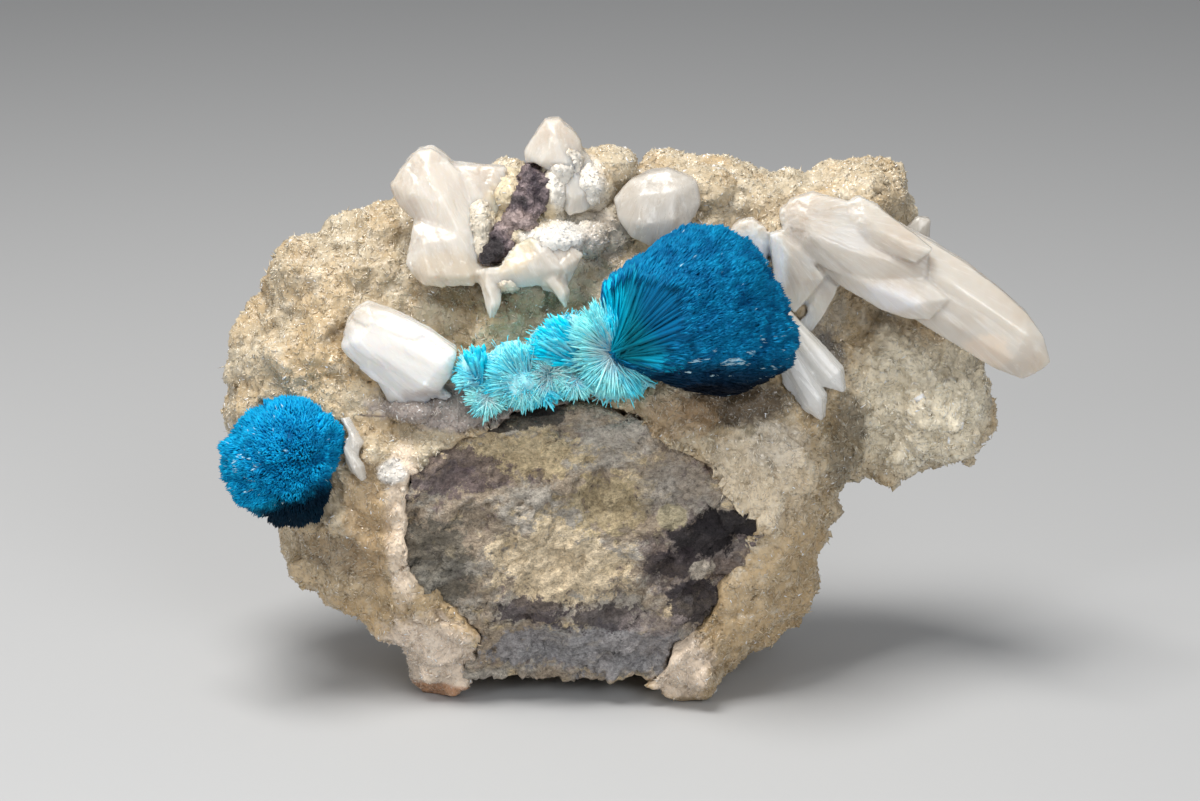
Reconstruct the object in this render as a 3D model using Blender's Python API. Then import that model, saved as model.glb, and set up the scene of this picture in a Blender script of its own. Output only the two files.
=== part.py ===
# Cavansite on a zeolite crust: two blue crystal balls and a pale blue band of sprays,
# with white stilbite blades, on a drusy crust that wraps a core of altered basalt.
# The specimen stands on the two feet of its crust. +X is right, +Y is away, +Z is up.

import bpy
import bmesh
import numpy as np
from mathutils import Matrix, Vector, noise

MM = 0.001  # lengths below are in millimetres

# Gap kept between two pieces that touch on the real specimen.
GAP = 0.36

# The crust's outline from the front, as (x, z), clockwise from the left foot.
CRUST_OUTLINE = [
    (-15.9, -0.8), (-16.6, 2.4), (-20.2, 5.0), (-24.1, 7.2), (-25.7, 8.9), (-25.6, 11.4),
    (-27.6, 14.3), (-29.2, 17.8), (-29.8, 22.0), (-29.0, 25.9), (-26.9, 28.2), (-26.1, 30.4),
    (-24.0, 31.9), (-20.7, 34.2), (-17.3, 35.2), (-13.8, 35.4), (-10.2, 37.2), (-6.6, 38.3),
    (-2.3, 38.3), (-0.3, 37.3), (0.9, 38.0), (4.8, 38.4), (7.8, 38.4), (9.0, 37.3),
    (12.0, 37.5), (14.7, 38.0), (17.4, 38.2), (19.5, 36.9), (20.3, 34.7), (21.3, 31.8),
    (21.8, 27.4), (20.0, 22.6), (17.4, 17.3), (15.4, 13.8), (13.8, 9.9), (12.5, 6.2),
    (11.2, 3.9), (9.2, 2.6), (7.4, 1.2), (6.3, -0.8), (-4.5, -1.0),
]
CRUST_CENTRE = (-3.5, 18.0)
OUTLINE_STEPS = 112
BODY_RINGS = 18

# Depth of the crust's front face and back face up the middle of the specimen, as (z, y).
FRONT_DEPTHS = [
    (0, -7.6), (6, -8.9), (14, -9.6), (20, -9.2), (24, -7.6), (28, -5.6), (33, -4.2), (38, -2.6),
]
BACK_DEPTHS = [(0, 7.0), (8, 9.0), (18, 10.5), (28, 9.0), (38, 6.5)]
RIM_DEPTHS = [(0, -0.8), (10, -0.5), (20, 1.5), (38, 3.0)]
FRONT_CURVE = 0.0055  # how fast the front falls away to the left and right
FRONT_CURVE_X = -5.0

# Swells and hollows of the front, as (x, z, radius, height towards the viewer).
FRONT_RELIEF = [
    (-2.3, 32.6, 2.8, -1.6), (17.0, 26.5, 3.2, -2.6), (15.2, 21.0, 2.8, -2.0), (-24.0, 27.5, 4.5, 1.6),
    (-20.0, 31.5, 3.5, 1.4), (-14.3, 28.0, 3.6, -1.6), (-18.5, 17.0, 3.0, 0.7), (-14.2, 21.0, 2.4, -0.9),
    (3.5, 36.0, 3.6, 1.6), (16.3, 36.2, 3.6, 2.2), (10.8, 34.0, 2.8, 1.6), (-8.3, 34.2, 4.4, 2.4),
    (10.8, 17.0, 3.4, 1.0), (-14.8, 3.6, 2.6, 0.8), (4.9, 2.0, 3.0, 2.4), (-19.0, 23.0, 3.2, -1.2),
    (-26.5, 22.0, 3.0, 1.0), (3.5, 24.5, 3.4, 1.2),
]

# Swells and hollows of the back, as (x, z, radius, height away from the viewer).
BACK_RELIEF = [
    (-20.0, 22.0, 6.0, 1.6), (-9.0, 31.0, 5.0, 1.8), (8.0, 31.0, 6.0, -1.5), (15.0, 25.0, 5.0, 1.4),
    (-17.0, 10.0, 4.0, -1.2), (8.0, 9.0, 4.0, 1.0),
]

# Round masses that the crust grew into, as (x, y, z, radius x, radius y, radius z).
CRUST_LUMPS = [
    (21.6, 0.3, 19.6, 4.5, 4.3, 4.4), (18.4, 0.6, 22.6, 3.8, 3.4, 3.8), (22.6, 1.2, 22.6, 3.0, 3.2, 2.8),
    (18.9, -0.2, 16.2, 2.0, 2.0, 1.9), (-26.2, 1.0, 22.5, 3.4, 3.6, 4.6), (-22.8, 0.4, 30.2, 3.0, 3.0, 2.4),
    (16.6, 1.5, 35.6, 3.3, 3.4, 2.6), (3.8, 1.5, 36.0, 3.2, 3.2, 2.3), (-22.6, -2.4, 9.6, 2.8, 3.0, 2.4),
    (11.2, -2.0, 7.6, 2.3, 4.0, 3.6),
]

# The broken face of the basalt core, as (x, z), clockwise from its lower left.
CORE_OUTLINE = [
    (-12.2, 1.5), (-11.3, 3.6), (-10.6, 5.2), (-12.0, 6.9), (-14.3, 8.9), (-15.9, 10.8), (-16.4, 13.2),
    (-16.0, 15.9), (-15.3, 18.0), (-13.3, 19.6), (-10.0, 20.9), (-7.9, 22.0), (-5.1, 22.4), (-2.3, 22.3),
    (0.4, 21.4), (3.2, 19.6), (5.3, 18.0), (6.3, 16.4), (7.5, 15.0), (9.1, 14.6), (8.5, 12.2),
    (7.1, 9.2), (5.0, 6.3), (2.7, 4.4), (1.9, 2.0), (-1.6, 1.5), (-5.2, 1.5), (-9.5, 1.4),
]
CORE_CENTRE = (-4.0, 12.5)
CORE_BACK_SCALE = 0.78  # the core narrows towards the back
CORE_FRONT_Y = -9.5
CORE_BACK_Y = 12.0
CORE_RECESS = 0.9  # how far the broken face lies below the crust around it
CORE_RINGS = 9
CORE_VOXEL = 0.55
CORE_FACES = 1500

# The arch under the core, between the two feet: its outline (x, z) in front, and where it ends behind.
ARCH_OUTLINE = [
    (-13.1, -3.0), (-12.7, 0.5), (-11.8, 1.5), (-9.0, 1.9), (-4.0, 1.7), (0.4, 1.9), (1.6, 1.4),
    (2.5, 0.4), (2.9, -3.0),
]
ARCH_DEEP_Y = 0.0
ARCH_END_Y = 5.0
ARCH_END_SIZE = (0.6, 0.3)

REMESH_VOXEL = 0.62
CRUST_FACES = 4300

# The large ball: its outline as (x, z), the depth of its rim and how far it swells to the front and back.
BALL_OUTLINE = [
    (-2.9, 31.0), (-1.7, 32.0), (1.1, 34.0), (3.5, 35.5), (4.6, 35.9), (6.9, 35.0), (9.0, 33.0),
    (10.6, 30.3), (11.5, 27.1), (11.0, 26.0), (8.9, 24.5), (7.7, 23.7), (4.6, 24.3), (1.5, 25.0),
    (-1.2, 26.3), (-2.2, 28.4),
]
BALL_DEPTHS = (-8.8, 5.2, 4.2)
BALL_HEART = (-1.2, -9.4, 26.6)  # the point that its blades grow from
BALL_BREAK_NORMAL = (-0.68, -0.73, 0.0)  # it is broken open here and shows the sprays inside

SMALL_BALL_OUTLINE = [
    (-29.3, 18.6), (-28.5, 20.0), (-26.9, 21.5), (-26.0, 22.5), (-24.0, 22.9), (-22.3, 22.5),
    (-20.9, 21.9), (-20.4, 20.6), (-20.3, 19.0), (-21.0, 16.8), (-22.0, 14.2), (-23.2, 13.5),
    (-24.3, 13.2), (-25.8, 14.0), (-27.1, 14.9), (-28.8, 16.8),
]
SMALL_BALL_DEPTHS = (-7.0, 4.4, 4.0)

# Pale sprays of the band, from the large ball to the left, each with the depth of its rim.
SPRAYS = [
    (-7.8, [
        (-3.4, 29.2), (-2.3, 29.8), (-1.4, 28.7), (0.4, 25.9), (2.4, 24.3), (2.1, 23.5), (0.4, 22.7),
        (-1.3, 22.7), (-2.9, 23.0), (-4.1, 24.3), (-4.6, 26.1), (-4.3, 27.9),
    ]),
    (-7.5, [
        (-6.5, 27.8), (-5.7, 28.5), (-4.7, 29.1), (-3.7, 29.3), (-2.9, 28.5), (-2.8, 26.4),
        (-3.0, 24.2), (-4.1, 23.3), (-5.5, 22.9), (-6.9, 23.0), (-7.8, 24.2), (-7.9, 25.7),
    ]),
    (-8.2, [
        (-9.6, 26.6), (-8.6, 27.0), (-7.5, 27.0), (-6.5, 25.9), (-6.1, 24.4), (-6.5, 23.3),
        (-7.6, 22.7), (-9.0, 22.3), (-10.0, 22.8), (-10.6, 23.9), (-10.3, 25.5),
    ]),
    (-8.0, [
        (-12.4, 24.9), (-11.9, 26.1), (-10.8, 26.6), (-10.0, 26.0), (-9.6, 24.9), (-9.6, 23.6),
        (-10.9, 23.3), (-11.9, 23.7),
    ]),
]
SPRAY_SWELL = (1.9, 1.9)

# Tabular stilbite crystals. Each is the hull of an outline (x, z) and of the corners of its raised
# face, the crown (x, z, height). Lean is its slope to the right and upwards, edge its rim's thickness.
LONG = dict(
    outline=[
        (11.6, 34.6), (13.5, 35.6), (16.0, 35.4), (18.8, 34.3), (20.9, 33.2), (23.5, 31.7),
        (26.1, 29.7), (27.5, 28.5), (28.7, 26.9), (29.2, 25.2), (28.7, 24.7), (27.3, 24.0),
        (25.5, 24.6), (22.5, 26.3), (18.1, 28.9), (13.6, 32.0),
    ],
    crown=[(14.5, 34.2, 0.7), (22.4, 30.6, 1.1), (27.4, 27.4, 0.9), (19.4, 29.6, 0.9), (26.4, 25.6, 0.9)],
    depth=-3.9, lean=(-0.12, 0.2), edge=1.5,
)
FAN = dict(
    outline=[
        (10.2, 35.4), (10.9, 36.2), (12.5, 36.7), (14.8, 36.1), (20.6, 32.6), (20.4, 31.0),
        (17.0, 30.6), (13.6, 31.5), (11.3, 32.9), (10.4, 34.1),
    ],
    crown=[(12.0, 35.4, 0.7), (12.6, 33.8, 0.8), (17.4, 32.4, 0.5)],
    depth=-4.1, lean=(-0.02, 0.27), edge=0.9,
)
FAN_EAR = dict(
    outline=[
        (14.0, 35.4), (15.7, 36.5), (17.0, 35.9), (18.3, 34.9), (20.9, 33.1), (19.6, 32.2),
        (15.0, 33.8),
    ],
    crown=[(16.2, 35.2, 0.5), (18.9, 33.5, 0.5)],
    depth=-4.3, lean=(-0.12, 0.34), edge=0.8,
)
FAN_WING = dict(
    outline=[
        (12.2, 32.2), (14.5, 32.6), (20.6, 30.8), (21.9, 29.6), (20.7, 28.2), (19.2, 28.2),
        (17.4, 28.7), (16.0, 29.5), (14.3, 30.4),
    ],
    crown=[(14.6, 31.4, 0.5), (19.5, 29.3, 0.6)],
    depth=-4.9, lean=(-0.12, 0.12), edge=0.7,
)
TABLE = dict(
    outline=[(9.5, 34.0), (10.2, 34.2), (11.7, 33.0), (13.4, 30.9), (11.3, 28.3), (9.9, 29.8)],
    crown=[(10.6, 32.8, 0.3), (11.9, 30.9, 0.3)],
    depth=-4.3, lean=(0.0, 0.0), edge=1.4,
)
TABLE_SIDE = dict(
    outline=[
        (12.5, 31.2), (13.5, 30.8), (14.4, 30.1), (14.0, 29.1), (12.6, 26.7), (11.8, 26.2),
        (10.8, 27.8),
    ],
    crown=[(12.9, 29.6, 0.4), (12.1, 27.8, 0.4)],
    depth=-3.9, lean=(0.0, 0.0), edge=1.0,
)
PALE_BLADE = dict(
    outline=[
        (6.4, 33.2), (6.8, 34.0), (7.4, 34.6), (8.3, 34.8), (9.2, 34.3), (10.0, 32.8), (10.6, 30.3),
        (10.3, 29.5), (8.9, 28.9), (7.3, 31.1),
    ],
    crown=[(8.2, 33.6, 0.3), (9.4, 31.0, 0.3)],
    depth=-3.2, lean=(0.0, 0.0), edge=1.0,
)
BACK_TIP = dict(
    outline=[(19.1, 32.3), (19.4, 33.3), (20.3, 34.1), (21.2, 33.9), (21.2, 32.1), (20.2, 31.4)],
    crown=[(20.3, 33.1, 0.4), (20.4, 32.2, 0.4)],
    depth=0.8, lean=(0.0, 0.0), edge=1.2,
)
HORN = dict(
    outline=[
        (-17.0, 37.1), (-16.4, 38.2), (-15.1, 39.3), (-14.2, 39.5), (-13.0, 38.8), (-12.2, 37.9),
        (-10.9, 34.6), (-10.6, 32.9), (-11.6, 31.8), (-13.2, 32.6), (-15.0, 34.4), (-16.3, 35.6),
    ],
    crown=[(-14.6, 38.5, 0.7), (-15.4, 36.6, 1.0), (-13.1, 36.2, 1.2), (-11.8, 33.4, 0.8)],
    depth=-2.5, lean=(-0.05, 0.36), edge=1.6,
)
HORN_WING = dict(
    outline=[
        (-13.2, 38.5), (-11.3, 38.3), (-9.0, 38.1), (-8.8, 36.9), (-9.5, 35.2), (-10.2, 33.4),
        (-12.5, 33.2),
    ],
    crown=[(-11.4, 37.2, 0.4), (-9.9, 37.2, 0.4), (-11.0, 34.8, 0.5)],
    depth=-2.2, lean=(0.0, 0.36), edge=1.3,
)
APRON = dict(
    outline=[
        (-15.5, 34.6), (-15.8, 32.0), (-14.7, 30.6), (-13.0, 30.5), (-11.2, 30.6), (-10.2, 31.8),
        (-11.0, 34.4), (-13.4, 35.4),
    ],
    crown=[(-14.6, 33.6, 0.8), (-12.3, 33.8, 0.8), (-14.2, 31.4, 0.9), (-11.4, 31.4, 0.9)],
    depth=-4.4, lean=(0.0, 0.4), edge=1.4,
)
APRON_RIGHT = dict(
    outline=[
        (-11.0, 31.6), (-9.1, 33.0), (-7.1, 33.9), (-5.1, 33.8), (-3.4, 32.8), (-4.3, 30.9),
        (-6.2, 31.0), (-8.0, 30.7), (-10.0, 30.4),
    ],
    crown=[(-8.6, 31.9, 0.7), (-6.4, 32.9, 0.8), (-5.0, 32.0, 0.8)],
    depth=-5.1, lean=(0.0, 0.3), edge=1.7,
)
PEAK = dict(
    outline=[
        (-7.4, 37.6), (-7.7, 39.2), (-6.7, 40.8), (-6.2, 41.3), (-5.2, 41.4), (-4.2, 40.6),
        (-3.7, 39.9), (-3.5, 38.0), (-5.2, 36.6),
    ],
    crown=[(-5.5, 40.6, 0.7), (-6.4, 38.8, 1.0), (-4.7, 38.7, 1.1)],
    depth=-0.9, lean=(0.0, 0.35), edge=1.3,
)
PEAK_FOOT = dict(
    outline=[
        (-5.6, 38.4), (-3.6, 39.2), (-2.9, 38.5), (-2.6, 36.5), (-3.2, 35.3), (-4.5, 34.9),
        (-5.4, 35.8),
    ],
    crown=[(-4.2, 37.8, 0.6), (-3.6, 36.5, 0.8), (-4.6, 36.2, 0.7)],
    depth=-1.6, lean=(0.0, 0.4), edge=1.2,
)
ROUND_BLADE = dict(
    outline=[
        (-1.4, 36.1), (-0.9, 36.8), (-0.2, 37.5), (1.1, 37.9), (2.4, 38.1), (4.4, 37.3), (4.7, 36.0),
        (4.0, 34.3), (2.7, 33.4), (1.1, 33.1), (-0.2, 33.7), (-1.2, 35.0),
    ],
    crown=[(0.3, 36.6, 0.9), (2.8, 36.8, 0.8), (0.6, 34.7, 1.0), (2.8, 35.0, 0.8)],
    depth=-2.8, lean=(0.0, 0.4), edge=1.4,
)
LEFT_BLOCK = dict(
    outline=[
        (-20.4, 26.3), (-20.0, 28.0), (-19.3, 29.0), (-18.4, 29.4), (-17.0, 29.0), (-14.2, 27.7),
        (-12.4, 26.4), (-12.6, 24.6), (-13.6, 23.3), (-15.8, 23.0), (-18.2, 24.2), (-19.9, 25.6),
    ],
    crown=[(-18.1, 28.3, 0.9), (-13.3, 25.6, 0.8), (-19.2, 27.1, 1.0), (-14.5, 24.1, 1.0)],
    depth=-6.4, lean=(-0.2, 0.0), edge=1.8,
)
LEFT_BLOCK_FOOT = dict(
    outline=[(-18.6, 24.9), (-17.2, 22.6), (-15.7, 21.4), (-13.6, 21.9), (-12.8, 23.1), (-14.5, 24.6)],
    crown=[(-16.8, 23.6, 0.6), (-15.0, 22.7, 0.6)],
    depth=-6.3, lean=(-0.2, 0.0), edge=1.4,
)

# The sliver of dark basalt between the white crystals: its upper and lower part.
SLIVER = dict(
    outline=[
        (-7.8, 38.1), (-7.0, 38.2), (-5.8, 37.6), (-6.1, 36.9), (-6.1, 35.5), (-7.1, 34.3),
        (-9.3, 34.2), (-8.9, 35.1),
    ],
    crown=[(-7.3, 37.2, 0.4), (-7.0, 35.8, 0.4), (-8.0, 34.9, 0.4)],
    depth=-2.9, lean=(0.0, 0.6), edge=1.8,
)
SLIVER_FOOT = dict(
    outline=[(-9.7, 34.6), (-7.1, 34.5), (-8.3, 33.6), (-9.3, 32.2), (-10.6, 32.2), (-10.3, 33.3)],
    crown=[(-9.1, 33.9, 0.3), (-9.8, 33.0, 0.3)],
    depth=-4.3, lean=(0.0, 0.6), edge=1.8,
)

# Stilbite prisms: foot and tip as (x, y, z), width and thickness.
FINGERS = [
    ((-10.3, -5.2, 31.6), (-9.4, -6.9, 28.5), 2.0, 1.7),
    ((-6.4, -5.4, 32.2), (-4.7, -6.6, 29.3), 1.9, 1.6),
]
SHEAF = [
    ((10.4, -5.0, 28.1), (14.9, -6.3, 23.1), 2.1, 1.7),
    ((9.9, -5.3, 27.3), (13.4, -6.9, 21.2), 2.1, 1.7),
    ((10.3, -5.7, 25.6), (11.8, -6.7, 20.6), 1.1, 1.0),
]
CHIPS = [
    ((-20.9, -7.2, 21.2), (-18.7, -9.1, 17.4), 1.3, 1.1),
    ((-20.3, -7.0, 21.2), (-19.0, -8.6, 19.2), 1.1, 1.0),
]


def material(name, colour, roughness):
    made = bpy.data.materials.new(name)
    made.use_nodes = True
    shader = made.node_tree.nodes["Principled BSDF"]
    shader.inputs["Base Color"].default_value = (*colour, 1.0)
    shader.inputs["Roughness"].default_value = roughness
    shader.inputs["Metallic"].default_value = 0.0
    return made


def place(name, mesh, look=None):
    """A new object of this mesh in the scene, with its material."""
    made = bpy.data.objects.new(name, mesh)
    bpy.context.scene.collection.objects.link(made)
    if look is not None:
        mesh.materials.clear()
        mesh.materials.append(look)
    return made


def mesh_of(name, points, faces):
    """A mesh from points in millimetres, with its faces turned outwards."""
    mesh = bpy.data.meshes.new(name)
    mesh.from_pydata([tuple(float(v) * MM for v in p) for p in points], [], faces)
    shape = bmesh.new()
    shape.from_mesh(mesh)
    bmesh.ops.recalc_face_normals(shape, faces=shape.faces)
    shape.to_mesh(mesh)
    shape.free()
    return mesh


def settle(piece):
    """Replaces the piece's mesh by what its modifiers make of it."""
    bpy.context.view_layer.update()
    graph = bpy.context.evaluated_depsgraph_get()
    mesh = bpy.data.meshes.new_from_object(piece.evaluated_get(graph))
    piece.modifiers.clear()
    piece.data = mesh
    return piece


def remove(*pieces):
    for piece in pieces:
        bpy.data.objects.remove(piece)


def combine(piece, other, operation):
    """Joins another closed shape to the piece, or cuts it away."""
    cut = piece.modifiers.new(operation.title(), "BOOLEAN")
    cut.operation = operation
    cut.object = other
    return settle(piece)


def relief(x, z, swells):
    """Height of the listed round swells at a point of the front or back."""
    return sum(h * np.exp(-((x - cx) ** 2 + (z - cz) ** 2) / r**2) for cx, cz, r, h in swells)


def depth_at(z, depths):
    return np.interp(z, [d[0] for d in depths], [d[1] for d in depths])


def front_y(x, z):
    """Depth of the crust's front surface, before the rim turns it back."""
    falls = FRONT_CURVE * (x - FRONT_CURVE_X) ** 2
    return depth_at(z, FRONT_DEPTHS) + falls - relief(x, z, FRONT_RELIEF)


def back_y(x, z):
    return depth_at(z, BACK_DEPTHS) - 0.5 * FRONT_CURVE * x**2 + relief(x, z, BACK_RELIEF)


def rim_share(s, bottom):
    """How much of a face's depth is left at share s of the way to the rim. The foot is blunter."""
    power = 5.0 + 10.0 * bottom
    return np.sqrt(np.clip(1.0 - s**power, 0.0, 1.0))


def round_the_centre(outline, centre, steps):
    """The outline as one radius for each of so many equal angles round the centre."""
    away = np.array(outline) - centre
    angles = np.arctan2(away[:, 1], away[:, 0])
    order = np.argsort(angles)
    even = np.linspace(-np.pi, np.pi, steps, endpoint=False)
    return even, np.interp(even, angles[order], np.hypot(*away.T)[order], period=2 * np.pi)


def crust_body():
    """The whole specimen's body: a front and a back surface that meet at the outline."""
    angles, reach = round_the_centre(CRUST_OUTLINE, CRUST_CENTRE, OUTLINE_STEPS)
    centre_x, centre_z = CRUST_CENTRE
    points = [(centre_x, surface(centre_x, centre_z), centre_z) for surface in (front_y, back_y)]
    rings = {}
    for side, surface in (("front", front_y), ("back", back_y)):
        last = BODY_RINGS if side == "front" else BODY_RINGS - 1
        for ring in range(1, last + 1):
            s = ring / BODY_RINGS
            x = centre_x + s * reach * np.cos(angles)
            z = centre_z + s * reach * np.sin(angles)
            rim = depth_at(z, RIM_DEPTHS)
            bottom = np.clip(-np.sin(angles), 0, 1)
            y = rim + (surface(x, z) - rim) * rim_share(s, bottom)
            rings[side, ring] = len(points)
            points.extend(zip(x, y, z))
    rings["back", BODY_RINGS] = rings["front", BODY_RINGS]
    faces = []
    for side, middle in (("front", 0), ("back", 1)):
        for k in range(OUTLINE_STEPS):
            after = (k + 1) % OUTLINE_STEPS
            first = rings[side, 1]
            faces.append((middle, first + k, first + after))
            for ring in range(1, BODY_RINGS):
                inner, outer = rings[side, ring], rings[side, ring + 1]
                faces.append((inner + k, outer + k, outer + after, inner + after))
    return mesh_of("crust", points, faces)


def add_lumps(mesh, lumps):
    shape = bmesh.new()
    shape.from_mesh(mesh)
    for x, y, z, *radii in lumps:
        size = Matrix.Diagonal([*(r * MM for r in radii), 1.0])
        where = Matrix.Translation(Vector((x, y, z)) * MM) @ size
        bmesh.ops.create_icosphere(shape, subdivisions=3, radius=1.0, matrix=where)
    shape.to_mesh(mesh)
    shape.free()


def displace(piece, kind, scale, strength):
    """Pushes the surface in and out by a noise texture of this size, in millimetres."""
    pattern = bpy.data.textures.new(f"{piece.name} {kind}", kind)
    pattern.noise_scale = scale * MM
    push = piece.modifiers.new(kind, "DISPLACE")
    push.texture = pattern
    push.texture_coords = "LOCAL"
    push.mid_level = 0.5
    push.strength = strength * MM


def make_crust(look):
    """The crust before its core is cut out: body and lumps made one skin, then roughened."""
    mesh = crust_body()
    add_lumps(mesh, CRUST_LUMPS)
    crust = place("zeolite_crust", mesh, look)
    skin = crust.modifiers.new("Remesh", "REMESH")
    skin.mode = "VOXEL"
    skin.voxel_size = REMESH_VOXEL * MM
    soft = crust.modifiers.new("Smooth", "SMOOTH")
    soft.iterations = 2
    displace(crust, "CLOUDS", 4.5, 1.5)
    displace(crust, "VORONOI", 2.3, -1.3)
    settle(crust)
    thin = crust.modifiers.new("Decimate", "DECIMATE")
    thin.ratio = CRUST_FACES / (2 * len(crust.data.polygons))
    return settle(crust)


def grown(piece, by):
    """A helper copy of the piece, its surface moved out by so many millimetres."""
    copy = place(f"{piece.name}_grown", piece.data.copy())
    swell = copy.modifiers.new("Swell", "DISPLACE")
    swell.mid_level = 0.0
    swell.strength = by * MM
    settle(copy)
    copy.hide_render = True
    copy.display_type = "WIRE"
    return copy


def arch_cutter():
    """The hollow between the feet, which narrows and sinks towards the rear foot."""
    points = [(x, y, z) for x, z in ARCH_OUTLINE for y in (-16.0, ARCH_DEEP_Y)]
    middle = (ARCH_OUTLINE[0][0] + ARCH_OUTLINE[-1][0]) / 2
    wide, high = ARCH_END_SIZE
    points += [(middle + wide * (x - middle), ARCH_END_Y, high * z) for x, z in ARCH_OUTLINE]
    return hull("arch_cutter", points)


def floor_cutter():
    """Everything below the level that the feet stand on."""
    return hull("floor_cutter", [(x, y, z) for x in (-60, 60) for y in (-60, 60) for z in (-20, 0)])


def grow_outline(outline, by):
    """Moves each corner of a clockwise outline outwards, along the mean normal of its two sides."""
    points = np.array(outline, float)
    along = np.roll(points, -1, axis=0) - points
    along /= np.linalg.norm(along, axis=1)[:, None]
    normals = np.stack([-along[:, 1], along[:, 0]], axis=1)
    mean = normals + np.roll(normals, 1, axis=0)
    mean /= np.linalg.norm(mean, axis=1)[:, None]
    return points + by * mean


def core_scale(y):
    """The core's size at depth y, as a share of its front."""
    share = (y - CORE_FRONT_Y) / (CORE_BACK_Y - CORE_FRONT_Y)
    return 1.0 + (CORE_BACK_SCALE - 1.0) * share


def tapered(outline, y):
    """The outline at depth y, where the core is narrower than at its face."""
    return CORE_CENTRE + (np.array(outline) - CORE_CENTRE) * core_scale(y)


def core_prism(outline):
    """The core's tapered outline carried straight through the specimen."""
    count = len(outline)
    points = []
    for y in (-18.0, 18.0):
        points.extend((x, y, z) for x, z in tapered(outline, y))
    faces = [tuple(range(count)), tuple(range(count, 2 * count))]
    faces += [(k, (k + 1) % count, count + (k + 1) % count, count + k) for k in range(count)]
    return place("core_prism", mesh_of("core_prism", points, faces))


def core_y(side, x, z):
    """Depth of the core's broken face in front or behind, with its larger steps."""
    step = 0.6 * noise.cell(Vector((x / 4.5, z / 3.5, 2.0)))
    if side == "front":
        return front_y(x, z) + CORE_RECESS + step
    return back_y(x, z) - CORE_RECESS - step


def make_core(look):
    """The basalt core: a broken face in front and behind, roughened and cut to the core's outline."""
    outline = grow_outline(CORE_OUTLINE, 0.8)
    count = len(outline)
    points = []
    for side in ("front", "back"):
        for ring in range(CORE_RINGS + 1):
            corners = CORE_CENTRE + (outline - CORE_CENTRE) * ring / CORE_RINGS
            for x, z in corners[: 1 if ring == 0 else count]:
                y = core_y(side, x, z)
                wide, high = tapered([(x, z)], y)[0]
                points.append((wide, y, high))
    per_side = 1 + CORE_RINGS * count
    faces = []
    for start in (0, per_side):
        for k in range(count):
            after = (k + 1) % count
            faces.append((start, start + 1 + k, start + 1 + after))
            for ring in range(CORE_RINGS - 1):
                inner = start + 1 + ring * count
                outer = inner + count
                faces.append((inner + k, outer + k, outer + after, inner + after))
    front_rim = 1 + (CORE_RINGS - 1) * count
    back_rim = per_side + front_rim
    for k in range(count):
        after = (k + 1) % count
        faces.append((front_rim + k, back_rim + k, back_rim + after, front_rim + after))
    core = place("basalt_core", mesh_of("basalt_core", points, faces), look)
    skin = core.modifiers.new("Remesh", "REMESH")
    skin.mode = "VOXEL"
    skin.voxel_size = CORE_VOXEL * MM
    displace(core, "VORONOI", 2.6, 1.5)
    displace(core, "CLOUDS", 1.6, 0.8)
    settle(core)
    thin = core.modifiers.new("Decimate", "DECIMATE")
    thin.ratio = CORE_FACES / (2 * len(core.data.polygons))
    settle(core)
    bounds = core_prism(np.array(CORE_OUTLINE))
    combine(core, bounds, "INTERSECT")
    remove(bounds)


def hull(name, points):
    """The convex solid round these points, in millimetres."""
    shape = bmesh.new()
    for point in points:
        shape.verts.new(Vector(point) * MM)
    made = bmesh.ops.convex_hull(shape, input=shape.verts)
    inside = [part for part in made["geom_interior"] if isinstance(part, bmesh.types.BMVert)]
    bmesh.ops.delete(shape, geom=inside, context="VERTS")
    mesh = bpy.data.meshes.new(name)
    shape.to_mesh(mesh)
    shape.free()
    return place(name, mesh)


def crystal(outline, crown, depth, lean, edge):
    """A tabular crystal with flat facets: a rim as thick as the edge, and a raised face on both sides."""
    middle = np.mean(outline, axis=0)
    corners = [(x, z, 0.0) for x, z in outline] + crown
    points = []
    for x, z, height in corners:
        y = depth + lean[0] * (x - middle[0]) + lean[1] * (z - middle[1])
        points.append((x, y - edge / 2 - height, z))
        points.append((x, y + edge / 2 + 0.7 * height, z))
    return hull("crystal", points)


def prism(base, tip, width, thickness, point=0.2):
    """A six-sided prism from base to tip, narrowing to a short chisel edge over its last share."""
    start, end = Vector(base), Vector(tip)
    along = end - start
    turned = along.to_track_quat("Z", "Y").to_matrix()
    section = [(0.5, 0.0), (0.3, 0.5), (-0.3, 0.5), (-0.5, 0.0), (-0.3, -0.5), (0.3, -0.5)]
    points = []
    for share, size in ((0.0, 0.82), (1.0 - point, 1.0)):
        for u, v in section:
            across = Vector((u * width * size, v * thickness * size, 0))
            points.append(start + along * share + turned @ across)
    for u in (-0.28, 0.2):
        points.append(end + turned @ Vector((u * width, 0, 0)))
    return hull("prism", points)


def burr(outline, depth, front, back, subdivisions, spike, seed):
    """A ball of blade tips inside an outline: its corners stand in and out by up to the spike's height."""
    middle = np.mean(outline, axis=0)
    angles, reach = round_the_centre(outline, middle, 72)
    shape = bmesh.new()
    bmesh.ops.create_icosphere(shape, subdivisions=subdivisions, radius=1.0)
    random = np.random.default_rng(seed)
    for corner in shape.verts:
        way = corner.co.normalized()
        width = np.interp(np.arctan2(way.z, way.x), angles, reach, period=2 * np.pi)
        swell = front if way.y < 0 else back
        tip = 1.0 + spike * random.uniform(-1.0, 1.0)
        away = Vector((width * way.x, swell * way.y, width * way.z)) * tip
        corner.co = (Vector((middle[0], depth, middle[1])) + away) * MM
    mesh = bpy.data.meshes.new("burr")
    shape.to_mesh(mesh)
    shape.free()
    return place("burr", mesh)


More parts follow.
